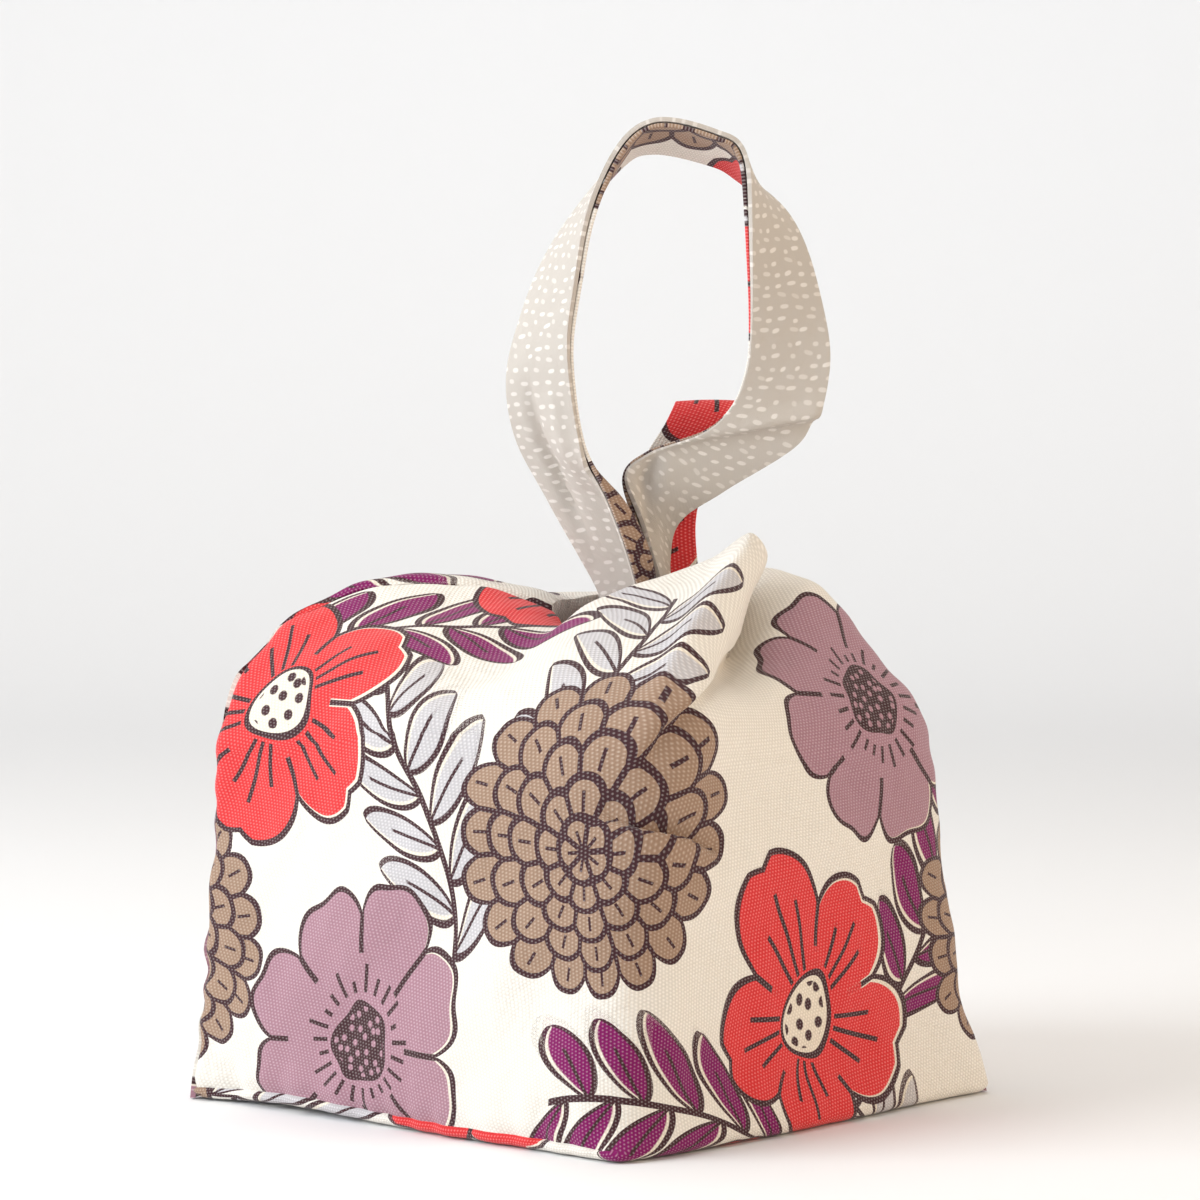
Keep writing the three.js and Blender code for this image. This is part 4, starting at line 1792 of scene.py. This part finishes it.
@dataclass(frozen=True)
class SoftLight:
    """A square soft light: its place and side in metres, its strength in watts and its aim."""

    name: str
    place: Triple
    size: float
    watts: float
    colour: Triple
    aim: Triple = (0.0, 0.0, 0.1)

    def build(self) -> None:
        """Adds the light and turns it to its aim."""
        bpy.ops.object.light_add(type="AREA", location=self.place)
        lamp = bpy.context.object
        lamp.name = self.name
        lamp.data.shape, lamp.data.size, lamp.data.energy = "SQUARE", self.size, self.watts
        lamp.data.color = self.colour
        way = Vector(self.aim) - Vector(self.place)
        lamp.rotation_euler = way.to_track_quat("-Z", "Y").to_euler()


LIGHTS = (
    SoftLight("window_light", (-1.45, 0.75, 0.75), 1.2, 30.0, (0.9, 0.955, 1.0)),
    SoftLight("fill_light", (0.5, -1.6, 0.6), 1.2, 13.2, (1.0, 0.75, 0.48)),
    SoftLight("top_light", (-0.1, 0.3, 1.6), 1.2, 12.5, (1.0, 0.95, 0.88)),
    SoftLight("backdrop_light", (1.3, 1.2, 1.5), 1.6, 7.0, (0.97, 0.99, 1.0), (2.6, 2.3, 0.3)),
)


@dataclass(frozen=True)
class Studio:
    """Pale floor that rises into a plain backdrop all around, soft lights and the camera."""

    reach: float = 3.4
    level_reach: float = 1.3
    rise: float = 2.4
    lens: float = 126.0
    camera_place: Triple = (-0.816, -0.7347, 0.182)
    camera_down_degrees: float = 2.7
    camera_heading_degrees: float = -48.08
    film_width: float = 36.0
    floor_drop: float = 0.0004
    floor_colour: Triple = (0.86, 0.86, 0.865)
    room_colour: Triple = (0.97, 0.98, 1.0)
    room_strength: float = 0.38

    def backdrop(self) -> bpy.types.Object:
        """Makes the floor and the backdrop in one piece.

        Returns:
            The floor.
        """
        select_none()
        bpy.ops.mesh.primitive_grid_add(x_subdivisions=64, y_subdivisions=64, size=2 * self.reach)
        floor = bpy.context.object
        floor.name = floor.data.name = "studio_floor"
        for vertex in floor.data.vertices:
            past_level = math.hypot(vertex.co.x, vertex.co.y) - self.level_reach
            share = past_level / (self.reach - self.level_reach)
            vertex.co.z = -self.floor_drop + self.rise * max(share, 0.0) ** 2
        bpy.ops.object.shade_smooth()
        material = bpy.data.materials.new("pale_floor")
        material.use_nodes = True
        shader = material.node_tree.nodes["Principled BSDF"]
        shader.inputs["Base Color"].default_value = (*self.floor_colour, 1)
        shader.inputs["Roughness"].default_value = 0.9
        shader.inputs["Specular IOR Level"].default_value = 0.1
        floor.data.materials.append(material)
        return floor

    def camera(self) -> bpy.types.Object:
        """Adds the camera, a little above the table and looking slightly down.

        Returns:
            The camera.
        """
        tilt = math.radians(90 - self.camera_down_degrees)
        turn = (tilt, 0.0, math.radians(self.camera_heading_degrees))
        bpy.ops.object.camera_add(location=self.camera_place, rotation=turn)
        camera = bpy.context.object
        camera.name = "studio_camera"
        camera.data.lens, camera.data.sensor_width = self.lens, self.film_width
        camera.data.clip_start = 0.01
        return camera

    def build(self) -> None:
        """Sets up everything around the bag."""
        self.backdrop()
        for light in LIGHTS:
            light.build()
        world = bpy.data.worlds.new("soft_room")
        world.use_nodes = True
        room = world.node_tree.nodes["Background"]
        room.inputs["Color"].default_value = (*self.room_colour, 1)
        room.inputs["Strength"].default_value = self.room_strength
        bpy.context.scene.world = world
        bpy.context.scene.camera = self.camera()
        bpy.context.scene.view_settings.view_transform = "Standard"


# ---------------------------------------------------------------- the whole bag

# rows of each sheet: hem, mouth, top, wall, foot and base
FRONT_DOWNS = stretches((-1, 0, 4), (0, 1, 40), (1, 2, 48), (2, 3, 66), (3, 4, 5), (4, 5, 40))
BACK_DOWNS = stretches((-1, 0, 4), (0, 1, 30), (1, 2, 40), (2, 3, 60))

def finish_piece(piece: bpy.types.Object) -> None:
    """Attaches a sheet to the root body and lets it stand for the solid of its own name.

    Args:
        piece: the finished sheet.
    """
    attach(piece, "root")
    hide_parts(piece.name.removesuffix("_sheet"))
    LOG.info("%s: %d faces", piece.name, len(piece.data.polygons))


def main() -> None:
    """Builds the bag, its handles and the studio."""
    logging.basicConfig(level=logging.INFO, format="%(name)s: %(message)s")
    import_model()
    form, floral = BagForm(), FloralPrint()
    canvas, lining = PrintedCanvas(floral).material(), LiningCotton().material()
    front = FrontCloth("front_cloth_sheet", form, -0.25, 0.25, 220, FRONT_DOWNS, crowding=1.35)
    back = BodyCloth("back_cloth_sheet", form, 0.25, 0.75, 160, BACK_DOWNS, print_offset=(258, 112))
    finish_piece(front.build(floral, (canvas, lining)))
    finish_piece(back.build(floral, (canvas, lining)))
    long_handle = Handle("long_handle", LONG_HANDLE, LONG_CREASES, LONG_FOLDS, (-128, -73), (0.02, 0.315))
    short_handle = Handle("short_handle", SHORT_HANDLE, (), (), (63, -48), (0.0185, 0.14))
    for handle, cloth in ((long_handle, "front_cloth_sheet"), (short_handle, "back_cloth_sheet")):
        for side_name, facing, finish in (("print", 1, canvas), ("lining", -1, lining)):
            strip = handle.strip(side_name, facing, floral, finish)
            slot = "printed_canvas" if facing > 0 else "lining_cotton"
            finish_piece(strip)
    Studio().build()


if __name__ == "__main__":
    main()
